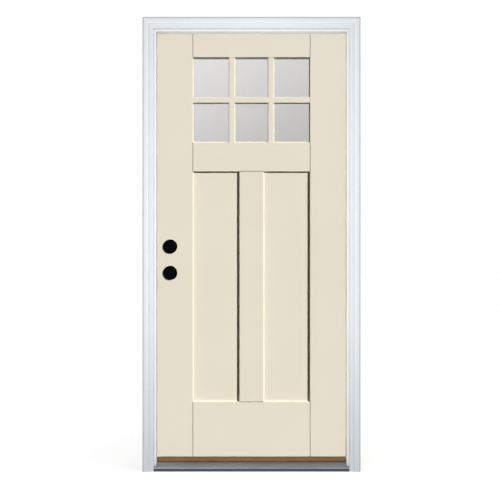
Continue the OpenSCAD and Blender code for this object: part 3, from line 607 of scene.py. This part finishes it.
leafFace = {
    "half": 454.0, "bevel": 2.0, "foot": 50.0, "head": 2057.0, "outer": 71.5, "inner": 116.0, "skin": 2.5,
    "panelX": 277.6, "mullion": 56.5, "panelZ": (309.4, 1400.3), "liteZ": (1536.8, 1940.4),
    "drop": 8.0, "run": 3.0, "lip": 1.0, "arris": 0.8, "fillet": 0.8, "arcSteps": 6, "margin": 4.0,
    "jointWidth": 2.8, "jointFloor": 2.0, "jointDepth": 1.4, "edgeRound": 1.2, "edgeLines": 6,
    "boreX": -384.15, "boreZ": (920.0, 1044.6), "bore": 27.0, "patch": 36.0, "patchLines": 17,
    "boreArris": 0.6, "arrisRings": 4, "innerRing": 2.0, "outerRing": 3.0,
    "hingeZ": (1822.0, 1101.0, 380.0), "hingeHalf": 50.85, "notch": 451.45,
}
leafSlope = slopeLine(leafFace["run"], leafFace["drop"], leafFace["arris"], leafFace["fillet"],
                      leafFace["arcSteps"])


def leafBoxes():
    # left, foot, right and head of both panels, then of the lites
    wide, mullion = leafFace["panelX"], leafFace["mullion"]
    low, high = leafFace["panelZ"]
    glassLow, glassHigh = leafFace["liteZ"]
    return [(-wide, low, -mullion, high), (mullion, low, wide, high), (-wide, glassLow, wide, glassHigh)]


def leafLines(left, outside):
    # grid lines over width and height, close together where the face bends
    size = leafFace
    right, foot, head = size["half"], size["foot"], size["head"]
    wide, mullion = size["panelX"], size["mullion"]
    low, high = size["panelZ"]
    glassLow, glassHigh = size["liteZ"]
    sight = size["run"] + size["lip"]
    steps = np.concatenate([[-size["margin"]], leafSlope[:, 0], [size["run"] + size["margin"]]])
    groove = np.array([-size["jointWidth"], -size["jointFloor"], size["jointFloor"], size["jointWidth"]]) / 2
    edge = size["edgeRound"] * (1 - np.cos(np.radians(np.linspace(0, 90, size["edgeLines"]))))
    edge = np.concatenate([edge, [size["margin"]]])
    fan = np.linspace(-size["patch"], size["patch"], size["patchLines"])
    xs = [left + edge, right - edge, size["boreX"] + fan, -wide + groove, wide + groove]
    xs += [-wide + steps, mullion + steps, -mullion - steps, wide - steps, [-wide + sight, wide - sight]]
    zs = [foot + edge, head - edge, low + groove, high + groove, [glassLow + sight, glassHigh - sight]]
    zs += [low + steps, glassLow + steps, high - steps, glassHigh - steps]
    zs += [z + fan for z in size["boreZ"]]
    if not outside:
        xs.append([size["notch"]])
        zs += [[z - size["hingeHalf"], z + size["hingeHalf"]] for z in size["hingeZ"]]
    return cleanLines(xs, left, right), cleanLines(zs, foot, head)


def leafDepths(x, z, left):
    # depth is the deepest of three: the slope line's depth at the distance inside a panel or the lites;
    # a joint groove, straight from its width down to its floor; and the rim's round, its radius less
    # the root of radius squared less the distance into the round squared
    size = leafFace
    low, high = size["panelZ"]
    glassLow, glassHigh = size["liteZ"]
    mould = np.zeros(len(x))
    shaded = np.zeros(len(x), bool)
    for box in leafBoxes():
        inside = insideBy(x, z, box)
        mould = np.maximum(mould, np.interp(inside, leafSlope[:, 0], leafSlope[:, 1]))
        # slopes that face the hinge side, and so the key light: they get painted shade
        shaded |= (x - box[0] - inside < meshing["near"]) & (inside > 0) & (inside < size["run"])
    cut = [size["jointFloor"] / 2, size["jointWidth"] / 2]
    fall = [size["jointDepth"], 0.0]
    spans = (z <= low) | ((z >= high) & (z <= glassLow)) | (z >= glassHigh)
    upright = np.interp(np.abs(np.abs(x) - size["panelX"]), cut, fall) * spans
    beside = np.minimum(np.abs(z - low), np.abs(z - high))
    level = np.interp(beside, cut, fall) * (np.abs(x) <= size["mullion"])
    joint = np.maximum(upright, level)
    bend = size["edgeRound"]
    into = bend - np.clip(insideBy(x, z, (left, size["foot"], size["half"], size["head"])), 0, bend)
    rim = bend - np.sqrt(bend ** 2 - into ** 2)
    return mould, joint, np.maximum(np.maximum(mould, joint), rim), shaded


def boreRings(xs, zs, x, z, boreZ):
    # rings from a square of grid points in to the round bore: one halfway, one circle, then an arris
    # with a radius of bore plus arris times 1 less the sine, at a depth of arris times 1 less the cosine
    size = leafFace
    cols = np.flatnonzero(np.abs(xs - size["boreX"]) < size["patch"] + meshing["near"])
    rows = np.flatnonzero(np.abs(zs - boreZ) < size["patch"] + meshing["near"]) * len(xs)
    loop = np.concatenate([
        rows[0] + cols[:-1], rows[:-1] + cols[-1], rows[-1] + cols[:0:-1], rows[:0:-1] + cols[0],
    ])
    ray = np.stack([x[loop] - size["boreX"], z[loop] - boreZ], -1)
    unit = ray / np.linalg.norm(ray, axis=1)[:, None]
    turn = np.radians(np.linspace(0, 90, size["arrisRings"]))
    radii = size["bore"] + size["boreArris"] * (1 - np.sin(turn))
    rings = [(ray + unit * (size["bore"] + size["outerRing"])) / 2, unit * (size["bore"] + size["innerRing"])]
    rings = np.concatenate(rings + [unit * radius for radius in radii])
    sunk = np.concatenate([[0.0, 0.0], size["boreArris"] * (1 - np.cos(turn))])
    return loop, rings[:, 0] + size["boreX"], rings[:, 1] + boreZ, np.repeat(sunk, len(loop))


def leafSheet(name, outside, *replaced):
    # front: the leaf's face less the depth at each point; back: the face less the moulding and the skin
    size = leafFace
    left = -size["half"] + (size["bevel"] if outside else 0.0)
    xs, zs = leafLines(left, outside)
    z, x = (a.ravel() for a in np.meshgrid(zs, xs, indexing="ij"))
    mould, joint, depth, shaded = leafDepths(x, z, left)
    cells = gridFaces(len(zs), len(xs))
    midX, midZ = x[cells].mean(1), z[cells].mean(1)
    opening = insideBy(midX, midZ, leafBoxes()[2]) > size["run"] + size["lip"]
    for boreZ in size["boreZ"]:
        opening |= (np.abs(midX - size["boreX"]) < size["patch"]) & (np.abs(midZ - boreZ) < size["patch"])
    if not outside:
        for hingeZ in size["hingeZ"]:
            opening |= (midX > size["notch"]) & (np.abs(midZ - hingeZ) < size["hingeHalf"])
    groups = creaseCells(cells[~opening], depth)
    behind = mould
    for boreZ in size["boreZ"]:
        loop, ringX, ringZ, sunk = boreRings(xs, zs, x, z, boreZ)
        index = np.concatenate([loop, len(x) + np.arange(len(ringX))])
        groups.append(index[gridFaces(len(index) // len(loop), len(loop), closed=True)])
        x = np.concatenate([x, ringX])
        z = np.concatenate([z, ringZ])
        depth = np.concatenate([depth, sunk])
        behind = np.concatenate([behind, np.zeros(len(sunk))])
    face = size["outer"] if outside else size["inner"]
    way = 1.0 if outside else -1.0
    front = np.stack([x, face + way * depth, z], -1)
    back = np.stack([x, face + way * (behind + size["skin"]), z], -1)
    points, groups = closeSheet(front, back, groups)
    # painted shade goes on the joint grooves, with dirt, and on the slopes that face the key light
    shares = {"crevice": np.zeros(len(points)), "slopeShade": np.zeros(len(points))}
    shares["crevice"][:len(mould)] = joint / size["jointDepth"]
    shares["slopeShade"][:len(mould)] = shaded
    putPiece(name, points, groups, "door_leaf", "leaf_cream", *replaced, shares=shares)


leafSheet("exteriorFace", True, "exterior_skin")
leafSheet("interiorFace", False, "interior_skin")


# bars over the glass, one grille on each face

barGrille = {
    "cols": 3, "rows": 2, "width": 30.5, "run": 1.75, "sink": 0.8, "glass": 12.75, "foot": 3.0,
    "arris": 0.8, "fillet": 0.001, "arcSteps": 5, "sideLines": 7, "flatLine": 3.0, "fit": 0.3,
    "endLine": 0.1, "endStep": 0.05, "noBar": 99.0, "thinnest": 0.02, "overlap": 2e-3,
}


def barDistance(x, z, barX, barZ):
    # distance to the middle line of the nearest bar
    return np.min([np.abs(x - b) for b in barX] + [np.abs(z - b) for b in barZ], axis=0)


def barSheet(name, outside, *replaced):
    # front: flat, round arris and steep side, by the distance to the nearest bar's middle
    # back: follows the moulding's slope, then the glass, by the distance inside the lites,
    # so that each bar's end is coped; where the back lies over the front there is no bar
    size, leaf = barGrille, leafFace
    wide = leaf["panelX"]
    low, high = leaf["liteZ"]
    half, fit = size["width"] / 2, size["fit"]
    flat = half - size["run"]
    side = size["glass"] - size["foot"]
    sight = leaf["run"] + leaf["lip"]
    lean = slopeLine(size["run"], side - size["sink"], size["arris"], size["fillet"], size["arcSteps"])
    lean = lean[:size["arcSteps"] + 1]
    across = np.concatenate([flat + lean[:, 0], [half]])
    down = np.concatenate([size["sink"] + lean[:, 1], [side]])
    sideLines = np.linspace(across[-2], across[-1], size["sideLines"])[1:-1]
    offsets = np.unique(np.concatenate([[flat - size["flatLine"]], across, sideLines]))
    depths = np.interp(offsets, across, down)
    ends = fit + depths[depths <= leaf["drop"]] / (leaf["drop"] / leaf["run"])
    ends = np.concatenate([ends, [fit + leaf["run"], fit + sight - size["endLine"], fit + sight]])
    barX = [-wide + 2 * wide * (i + 1) / size["cols"] for i in range(size["cols"] - 1)]
    barZ = [low + (high - low) * (i + 1) / size["rows"] for i in range(size["rows"] - 1)]
    xs = [-wide + ends, wide - ends] + [b + offsets for b in barX] + [b - offsets for b in barX]
    zs = [low + ends, high - ends] + [b + offsets for b in barZ] + [b - offsets for b in barZ]
    xs, zs = cleanLines(xs, -wide, wide), cleanLines(zs, low, high)
    z, x = (a.ravel() for a in np.meshgrid(zs, xs, indexing="ij"))

    away = barDistance(x, z, barX, barZ)
    front = np.where(away <= half + meshing["near"], np.interp(away, across, down), size["noBar"])
    reach = insideBy(x, z, (-wide, low, wide, high))
    turns = [fit, fit + leaf["run"], fit + sight - size["endStep"], fit + sight]
    back = np.interp(reach, turns, [0.0, leaf["drop"], leaf["drop"], size["glass"]])
    cells = gridFaces(len(zs), len(xs))
    cells = cells[barDistance(x[cells].mean(1), z[cells].mean(1), barX, barZ) < half]
    thick = (back - front)[cells]
    real = thick > -size["overlap"]
    solid = thick.max(1) > size["thinnest"]
    # a cell with one corner past the cope becomes a triangle
    cut = (real.sum(1) == 3) & solid
    corner = np.argmin(real[cut], axis=1)
    tips = np.take_along_axis(cells[cut], (corner[:, None] + np.array([1, 2, 3])) % 4, axis=1)
    groups = creaseCells(cells[real.all(1) & solid], front) + [tips]
    front = np.minimum(front, back)
    face = leaf["outer"] if outside else leaf["inner"]
    way = 1.0 if outside else -1.0
    used = np.unique(np.concatenate([g.ravel() for g in groups]))
    number = np.zeros(len(x), int)
    number[used] = np.arange(len(used))
    top = np.stack([x, face + way * front, z], -1)[used]
    under = np.stack([x, face + way * back, z], -1)[used]
    points, groups = closeSheet(top, under, [number[g] for g in groups])
    putPiece(name, points, groups, "door_leaf", "leaf_cream", *replaced)


barSheet("exteriorBars", True, "exterior_grille")
barSheet("interiorBars", False, "interior_grille")


# brick mould round the frame

brickMould = {
    "x0": 454.5, "z0": 2057.5, "width": 51.0, "thick": 31.8, "band": 20.0, "bead": 4.5, "beadDrop": 0.8,
    "beadRise": 1.3, "quirk": 1.6, "cove": 18.0, "lip": 24.0, "lipWidth": 10.0, "outerRound": 5.0,
    "arris": 0.5, "sideLine": 4.0, "bandLine": 1.5, "flatLine": 2.0,
    "roundSteps": 12, "arrisSteps": 4, "beadSteps": 14, "sections": 9,
    "edgeShadeX": (-1.5, 1.0), "edgeShadeY": (-4.0, 0.0), "highlightSpan": (2.5, 4.5), "sideHighlight": (0.5, 2.0),
}


def mouldOutline():
    # from the wall's inner corner round: back, outer side, band, quirk, bead, cove, lip
    # bead and cove are arcs that end where their heights, by the arcsine, meet the quirk and each other
    size = brickMould
    width, thick, bead, cove = size["width"], size["thick"], size["bead"], size["cove"]
    lip, lipWidth, turn, arris = size["lip"], size["lipWidth"], size["outerRound"], size["arris"]
    bandX = width - size["band"]
    beadX = bandX - bead
    beadY = thick - size["beadDrop"] - bead
    quirkY = thick - size["quirk"]
    coveY = beadY + bead - size["beadRise"]
    beadStart = math.degrees(math.asin((quirkY - beadY) / bead))
    beadEnd = 180 - math.degrees(math.asin((coveY - beadY) / bead))
    coveStart = -math.degrees(math.asin((lip + cove - coveY) / cove))
    return np.concatenate([
        [[0, 0], [width, 0], [width, thick - turn - size["sideLine"]]],
        arc((width - turn, thick - turn), turn, 0, 90, size["roundSteps"]),
        [[width - turn - size["bandLine"], thick], [bandX + size["flatLine"], thick]],
        arc((bandX + arris, thick - arris), arris, 90, 180, size["arrisSteps"]),
        [[bandX, quirkY]],
        arc((beadX, beadY), bead, beadStart, beadEnd, size["beadSteps"]),
        arc((lipWidth, lip + cove), cove, coveStart, -90, size["beadSteps"]),
        [[lipWidth - size["flatLine"], lip], [size["flatLine"], lip]],
        arc((arris, lip - arris), arris, 90, 180, size["arrisSteps"]),
    ])


def mouldLength(name, outline, starts, ends, *replaced):
    # each section is start times 1 less the share plus end times the share, closed by flat ends
    size = brickMould
    count, sections = len(outline), size["sections"]
    share = np.linspace(0, 1, sections)[:, None, None]
    points = ((1 - share) * starts + share * ends).reshape(-1, 3)
    quads = gridFaces(sections, count, closed=True)
    caps = np.stack([np.arange(count)[::-1], np.arange(count) + (sections - 1) * count])
    # painted shade on the outer round corner, a painted highlight on the bead and on the side towards the
    # leaf
    inX = outline[:, 0] - (size["width"] - size["outerRound"])
    inY = outline[:, 1] - (size["thick"] - size["outerRound"])
    dirtAndShade = np.interp(inX, size["edgeShadeX"], [0, 1]) * np.interp(inY, size["edgeShadeY"], [0, 1])
    beadMid = size["width"] - size["band"] - size["bead"] / 2
    highlight = np.interp(np.abs(outline[:, 0] - beadMid), size["highlightSpan"], [1, 0])
    highlight = np.maximum(highlight, np.interp(outline[:, 0], size["sideHighlight"], [1, 0]))
    shares = {"edgeShade": np.tile(dirtAndShade, sections), "paintedHighlight": np.tile(highlight, sections)}
    putPiece(name, points, [quads, caps], "frame", "mould_white", *replaced, shares=shares)


outline = mouldOutline()
along, out = outline[:, 0], -outline[:, 1]
for name, side, node in (("strikeMould", -1, "strike_brick_mould"), ("hingeMould", 1, "hinge_brick_mould")):
    legX = side * (brickMould["x0"] + along)
    foot = np.stack([legX, out, np.zeros_like(along)], -1)
    mitre = np.stack([legX, out, brickMould["z0"] + along], -1)
    mouldLength(name, outline, foot, mitre, node)
headLeft = np.stack([-brickMould["x0"] - along, out, brickMould["z0"] + along], -1)
headRight = headLeft * np.array([-1, 1, 1])
mouldLength("headMould", outline, headLeft, headRight, "head_brick_mould")


# covers of the bores

boreCover = {
    "radius": 33.5, "thick": 3.2, "dish": 1.4, "seat": 30.25, "round": 0.9, "crown": 0.15, "foot": 0.2,
    "edgeSteps": 8, "bowLines": 8, "steps": 96, "aside": (0.31, 0.52, 0.8),
}


def revolved(profile, centre, axis, steps):
    # centre plus radius times a unit ring square to the axis plus height times the axis
    turn = np.linspace(0, 2 * np.pi, steps, endpoint=False)
    axis = np.array(axis, float)
    first = np.cross(axis, boreCover["aside"])
    first /= np.linalg.norm(first)
    second = np.cross(axis, first)
    ring = np.cos(turn)[:, None] * first + np.sin(turn)[:, None] * second
    points = profile[:, 0, None, None] * ring + profile[:, 1, None, None] * axis + np.array(centre)
    return points.reshape(-1, 3), gridFaces(len(profile), steps, closed=True)


def coverPiece(name, z, node):
    # a turned profile: dished back, flat seat, round front edge, and a front that falls from its middle
    # by the crown times the square of the share of the radius
    size = boreCover
    radius, thick, seat, dish = size["radius"], size["thick"], size["seat"], size["dish"]
    edgeMid = (radius - size["round"], thick - size["crown"] - size["round"])
    edge = arc(edgeMid, size["round"], 0, 90, size["edgeSteps"])
    bow = np.linspace(edge[-1, 0], 0, size["bowLines"])[1:]
    rise = thick - size["crown"] * (bow / edge[-1, 0]) ** 2
    profile = np.concatenate([
        [[0, dish], [seat, dish], [seat, 0], [radius - size["foot"], 0], [radius, size["foot"]]],
        edge, np.stack([bow, rise], -1),
    ])
    points, quads = revolved(profile, (leafFace["boreX"], leafFace["outer"], z), (0, -1, 0), size["steps"])
    putPiece(name, points, [quads], "door_leaf", "cover_black", node)


coverPiece("lockCover", leafFace["boreZ"][0], "lock_bore_cover")
coverPiece("deadboltCover", leafFace["boreZ"][1], "deadbolt_bore_cover")


# screws of the hinges

hingeScrew = {
    "head": 4.1, "shank": 2.1, "cone": 2.0, "length": 17.0, "tip": 2.5, "sunk": 0.05, "rimDrop": 0.12,
    "recess": 1.25, "arm": 2.5, "armFoot": 1.6, "slot": 0.75, "slotFoot": 0.4125,
    "steps": 48, "rings": 14, "firstRing": 0.25, "lastRing": 0.3, "rimRing": 0.06,
    "near": 104.5, "far": 89.5, "end": 38.5, "count": 4, "jambX": 457.2, "leafX": 454.0,
}


def fallOff(distance, low, high):
    # 1 up to low, then straight down to 0 at high
    return np.clip((high - np.abs(distance)) / (high - low), 0, 1)


def screwAt(centre, inward):
    # a disc of rings sunk by the recess times the larger of two arms, each the fall over its width
    # times the fall over its length; then the rim, the cone, the shank and the tip
    size = hingeScrew
    steps, head = size["steps"], size["head"]
    turn = np.linspace(0, 2 * np.pi, steps, endpoint=False)
    rings = np.linspace(size["firstRing"], head - size["lastRing"], size["rings"])
    radii = np.concatenate([[0.0], rings, [head - size["rimRing"]]])
    radius, angle = np.meshgrid(radii, turn, indexing="ij")
    u, v = radius * np.cos(angle), radius * np.sin(angle)
    slot = (size["slotFoot"], size["slot"])
    arm = (size["armFoot"], size["arm"])
    arms = np.maximum(fallOff(v, *slot) * fallOff(u, *arm), fallOff(u, *slot) * fallOff(v, *arm))
    disc = np.stack([size["sunk"] + size["recess"] * arms, u, v], -1)
    sides = [(head, size["rimDrop"]), (size["shank"], size["cone"]),
             (size["shank"], size["length"] - size["tip"]), (0.0, size["length"])]
    rows = [np.stack([np.full(steps, deep), r * np.cos(turn), r * np.sin(turn)], -1) for r, deep in sides]
    points = np.concatenate([*disc, *rows]) * np.array([inward, 1, 1]) + np.array(centre)
    return points, gridFaces(len(disc) + len(rows), steps, closed=True)


def screwSet(name, x, inward, body, node):
    # a zigzag of screws on each hinge, one mesh
    size = hingeScrew
    points, quads, total = [], [], 0
    for z in leafFace["hingeZ"]:
        for i in range(size["count"]):
            y = size["near"] if i % 2 == 0 else size["far"]
            height = z + size["end"] * (1 - 2 * i / (size["count"] - 1))
            screwPoints, screwQuads = screwAt((x, y, height), inward)
            points.append(screwPoints)
            quads.append(screwQuads + total)
            total += len(screwPoints)
    putPiece(name, np.concatenate(points), [np.concatenate(quads)], body, "screw_steel", node)


screwSet("jambScrews", hingeScrew["jambX"], 1, "frame", "hinge_jamb_screws")
screwSet("leafScrews", hingeScrew["leafX"], -1, "door_leaf", "hinge_door_screws")
print("pieces made")


# stage, camera and lamps

studio = {
    "camera": (-0.007, -4.93, 1.028), "lens": 76.1, "sensor": 36.0,
    "floor": {"reach": 40.0, "drop": 0.0006, "pale": 0.93, "glow": 1.02, "lift": 0.65},
    "card": {"half": 0.9, "y": -5.5, "foot": 1.8, "head": 3.3, "tilt": 0.55, "span": (1.9, 3.1), "glow": 2.2},
    "ambient": 0.04,
    "leafKey": {"towards": (1.6, -1.0, 0.97), "strength": 6.4, "angle": 2.0},
    "frameKey": {"towards": (0.0, -1.0, 0.04), "strength": 0.8, "angle": 10.0},
    "frameFill": {"towards": (0.0, -1.0, -0.7), "strength": 0.8, "angle": 30.0},
    "frameBox": {"spot": (0.0, -1.3, 1.25), "width": 1.1, "height": 2.2, "watts": 15.2},
    "floorSoft": {"towards": (0.1, -0.3, 1.0), "strength": 3.6, "angle": 70.0},
    "backKey": {"towards": (1.5, 1.0, 1.1), "strength": 3.9, "angle": 24.0},
    "backFill": {"towards": (-1.4, 1.0, 0.4), "strength": 1.5, "angle": 30.0},
}

camera = bpy.data.objects.new("camera", bpy.data.cameras.new("camera"))
bpy.context.scene.collection.objects.link(camera)
camera.data.lens = studio["lens"]
camera.data.sensor_width = studio["sensor"]
camera.location = studio["camera"]
camera.rotation_euler = (math.pi / 2, 0, 0)
bpy.context.scene.camera = camera


def seenShare(tree):
    # 1 for rays of camera, gloss and glass
    path = tree.nodes.new("ShaderNodeLightPath").outputs
    share = calc(tree, "MAXIMUM", path["Is Camera Ray"], path["Is Glossy Ray"])
    return calc(tree, "MAXIMUM", share, path["Is Transmission Ray"])


def stagePlane(name, corners, material):
    # one flat quad
    mesh = bpy.data.meshes.new(name)
    mesh.from_pydata(corners, [], [(0, 1, 2, 3)])
    mesh.materials.append(material)
    plane = bpy.data.objects.new(name, mesh)
    bpy.context.scene.collection.objects.link(plane)
    plane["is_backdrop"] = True
    return plane


def emptyFinish(name):
    material = bpy.data.materials.new(name)
    material.use_nodes = True
    material.node_tree.nodes.clear()
    return material, material.node_tree


def endMix(tree, share, first, second):
    # the first shader, with this share of the second, goes out
    mixed = place(tree, "ShaderNodeMixShader", {}, (0, share), (1, first.outputs[0]), (2, second.outputs[0]))
    place(tree, "ShaderNodeOutputMaterial", {}, (0, mixed.outputs[0]))


def floorFinish():
    # pale floor, lifted to white where it is seen, with its shadows kept
    look = studio["floor"]
    material, tree = emptyFinish("paleFloor")
    pale = place(tree, "ShaderNodeBsdfDiffuse", {}, ("Color", (look["pale"], look["pale"], look["pale"], 1)))
    glow = place(tree, "ShaderNodeEmission", {}, ("Color", (1, 1, 1, 1)), ("Strength", look["glow"]))
    endMix(tree, calc(tree, "MULTIPLY", seenShare(tree), look["lift"]), pale, glow)
    return material


def cardFinish():
    # sky mirrored in the panes: bright at the upper left, dim at the lower right, clear to a straight look
    look = studio["card"]
    material, tree = emptyFinish("skyCard")
    axes = objectAxes(tree)
    slant = calc(tree, "SUBTRACT", axes["Z"], calc(tree, "MULTIPLY", axes["X"], look["tilt"]))
    tone = rangeOf(tree, slant, *look["span"], toLow=0.0, toHigh=look["glow"])
    glow = place(tree, "ShaderNodeEmission", {}, ("Strength", tone))
    clear = tree.nodes.new("ShaderNodeBsdfTransparent")
    bounces = tree.nodes.new("ShaderNodeLightPath").outputs["Glossy Depth"]
    mirrored = calc(tree, "GREATER_THAN", bounces, 0.5)
    endMix(tree, mirrored, clear, glow)
    return material


signs = ((-1, -1), (1, -1), (1, 1), (-1, 1))
reach, drop = studio["floor"]["reach"], studio["floor"]["drop"]
floor = stagePlane("floor", [(reach * i, reach * j, -drop) for i, j in signs], floorFinish())
floor.visible_diffuse = False  # the floor throws no light up at the object

half, away = studio["card"]["half"], studio["card"]["y"]
levels = {-1: studio["card"]["foot"], 1: studio["card"]["head"]}
card = stagePlane("skyCard", [(half * i, away, levels[j]) for i, j in signs], cardFinish())
for flag in ("visible_camera", "visible_diffuse", "visible_shadow", "visible_volume_scatter"):
    setattr(card, flag, False)

world = bpy.data.worlds.new("studioWorld")
bpy.context.scene.world = world
world.use_nodes = True
tree = world.node_tree
ambient = studio["ambient"]
level = calc(tree, "ADD", ambient, calc(tree, "MULTIPLY", seenShare(tree), 1.0 - ambient))
background = tree.nodes["Background"]
background.inputs["Color"].default_value = (1, 1, 1, 1)
tree.links.new(level, background.inputs["Strength"])

leafGroup = bpy.data.collections.new("leafGroup")
frameGroup = bpy.data.collections.new("frameGroup")
doorGroup = bpy.data.collections.new("doorGroup")
floorGroup = bpy.data.collections.new("floorGroup")
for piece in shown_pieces():
    group = leafGroup if body_of(piece) == ["door_leaf"] else frameGroup
    group.objects.link(piece)
    doorGroup.objects.link(piece)
for piece in frameGroup.objects:
    piece.visible_diffuse = False  # the frame throws no light back at the leaf
floorGroup.objects.link(floor)


def putLamp(name, kind, towards, power, receiver, blocker):
    # a lamp turned so that its light comes from the given direction
    lamp = bpy.data.objects.new(name, bpy.data.lights.new(name, kind))
    lamp.data.energy = power
    lamp.rotation_euler = Vector(towards).to_track_quat("Z", "Y").to_euler()
    bpy.context.scene.collection.objects.link(lamp)
    lamp.light_linking.receiver_collection = receiver
    if blocker:
        lamp.light_linking.blocker_collection = blocker
    return lamp


def sunLamp(name, towards, strength, angle, receiver, blocker=None):
    lamp = putLamp(name, "SUN", towards, strength, receiver, blocker)
    lamp.data.angle = math.radians(angle)


def boxLamp(name, spot, width, height, watts, receiver, blocker):
    # upright soft box in front of the object
    lamp = putLamp(name, "AREA", (0.0, -1.0, 0.0), watts, receiver, blocker)
    lamp.data.shape = "RECTANGLE"
    lamp.data.size = width
    lamp.data.size_y = height
    lamp.location = spot


sunLamp("leafKey", receiver=leafGroup, blocker=leafGroup, **studio["leafKey"])
sunLamp("frameKey", receiver=frameGroup, blocker=frameGroup, **studio["frameKey"])
sunLamp("frameFill", receiver=frameGroup, blocker=frameGroup, **studio["frameFill"])
boxLamp("frameBox", receiver=frameGroup, blocker=frameGroup, **studio["frameBox"])
sunLamp("floorSoft", receiver=floorGroup, **studio["floorSoft"])
sunLamp("backKey", receiver=doorGroup, **studio["backKey"])
sunLamp("backFill", receiver=doorGroup, **studio["backFill"])

bpy.context.scene.view_settings.view_transform = "Standard"
print("scene ready")
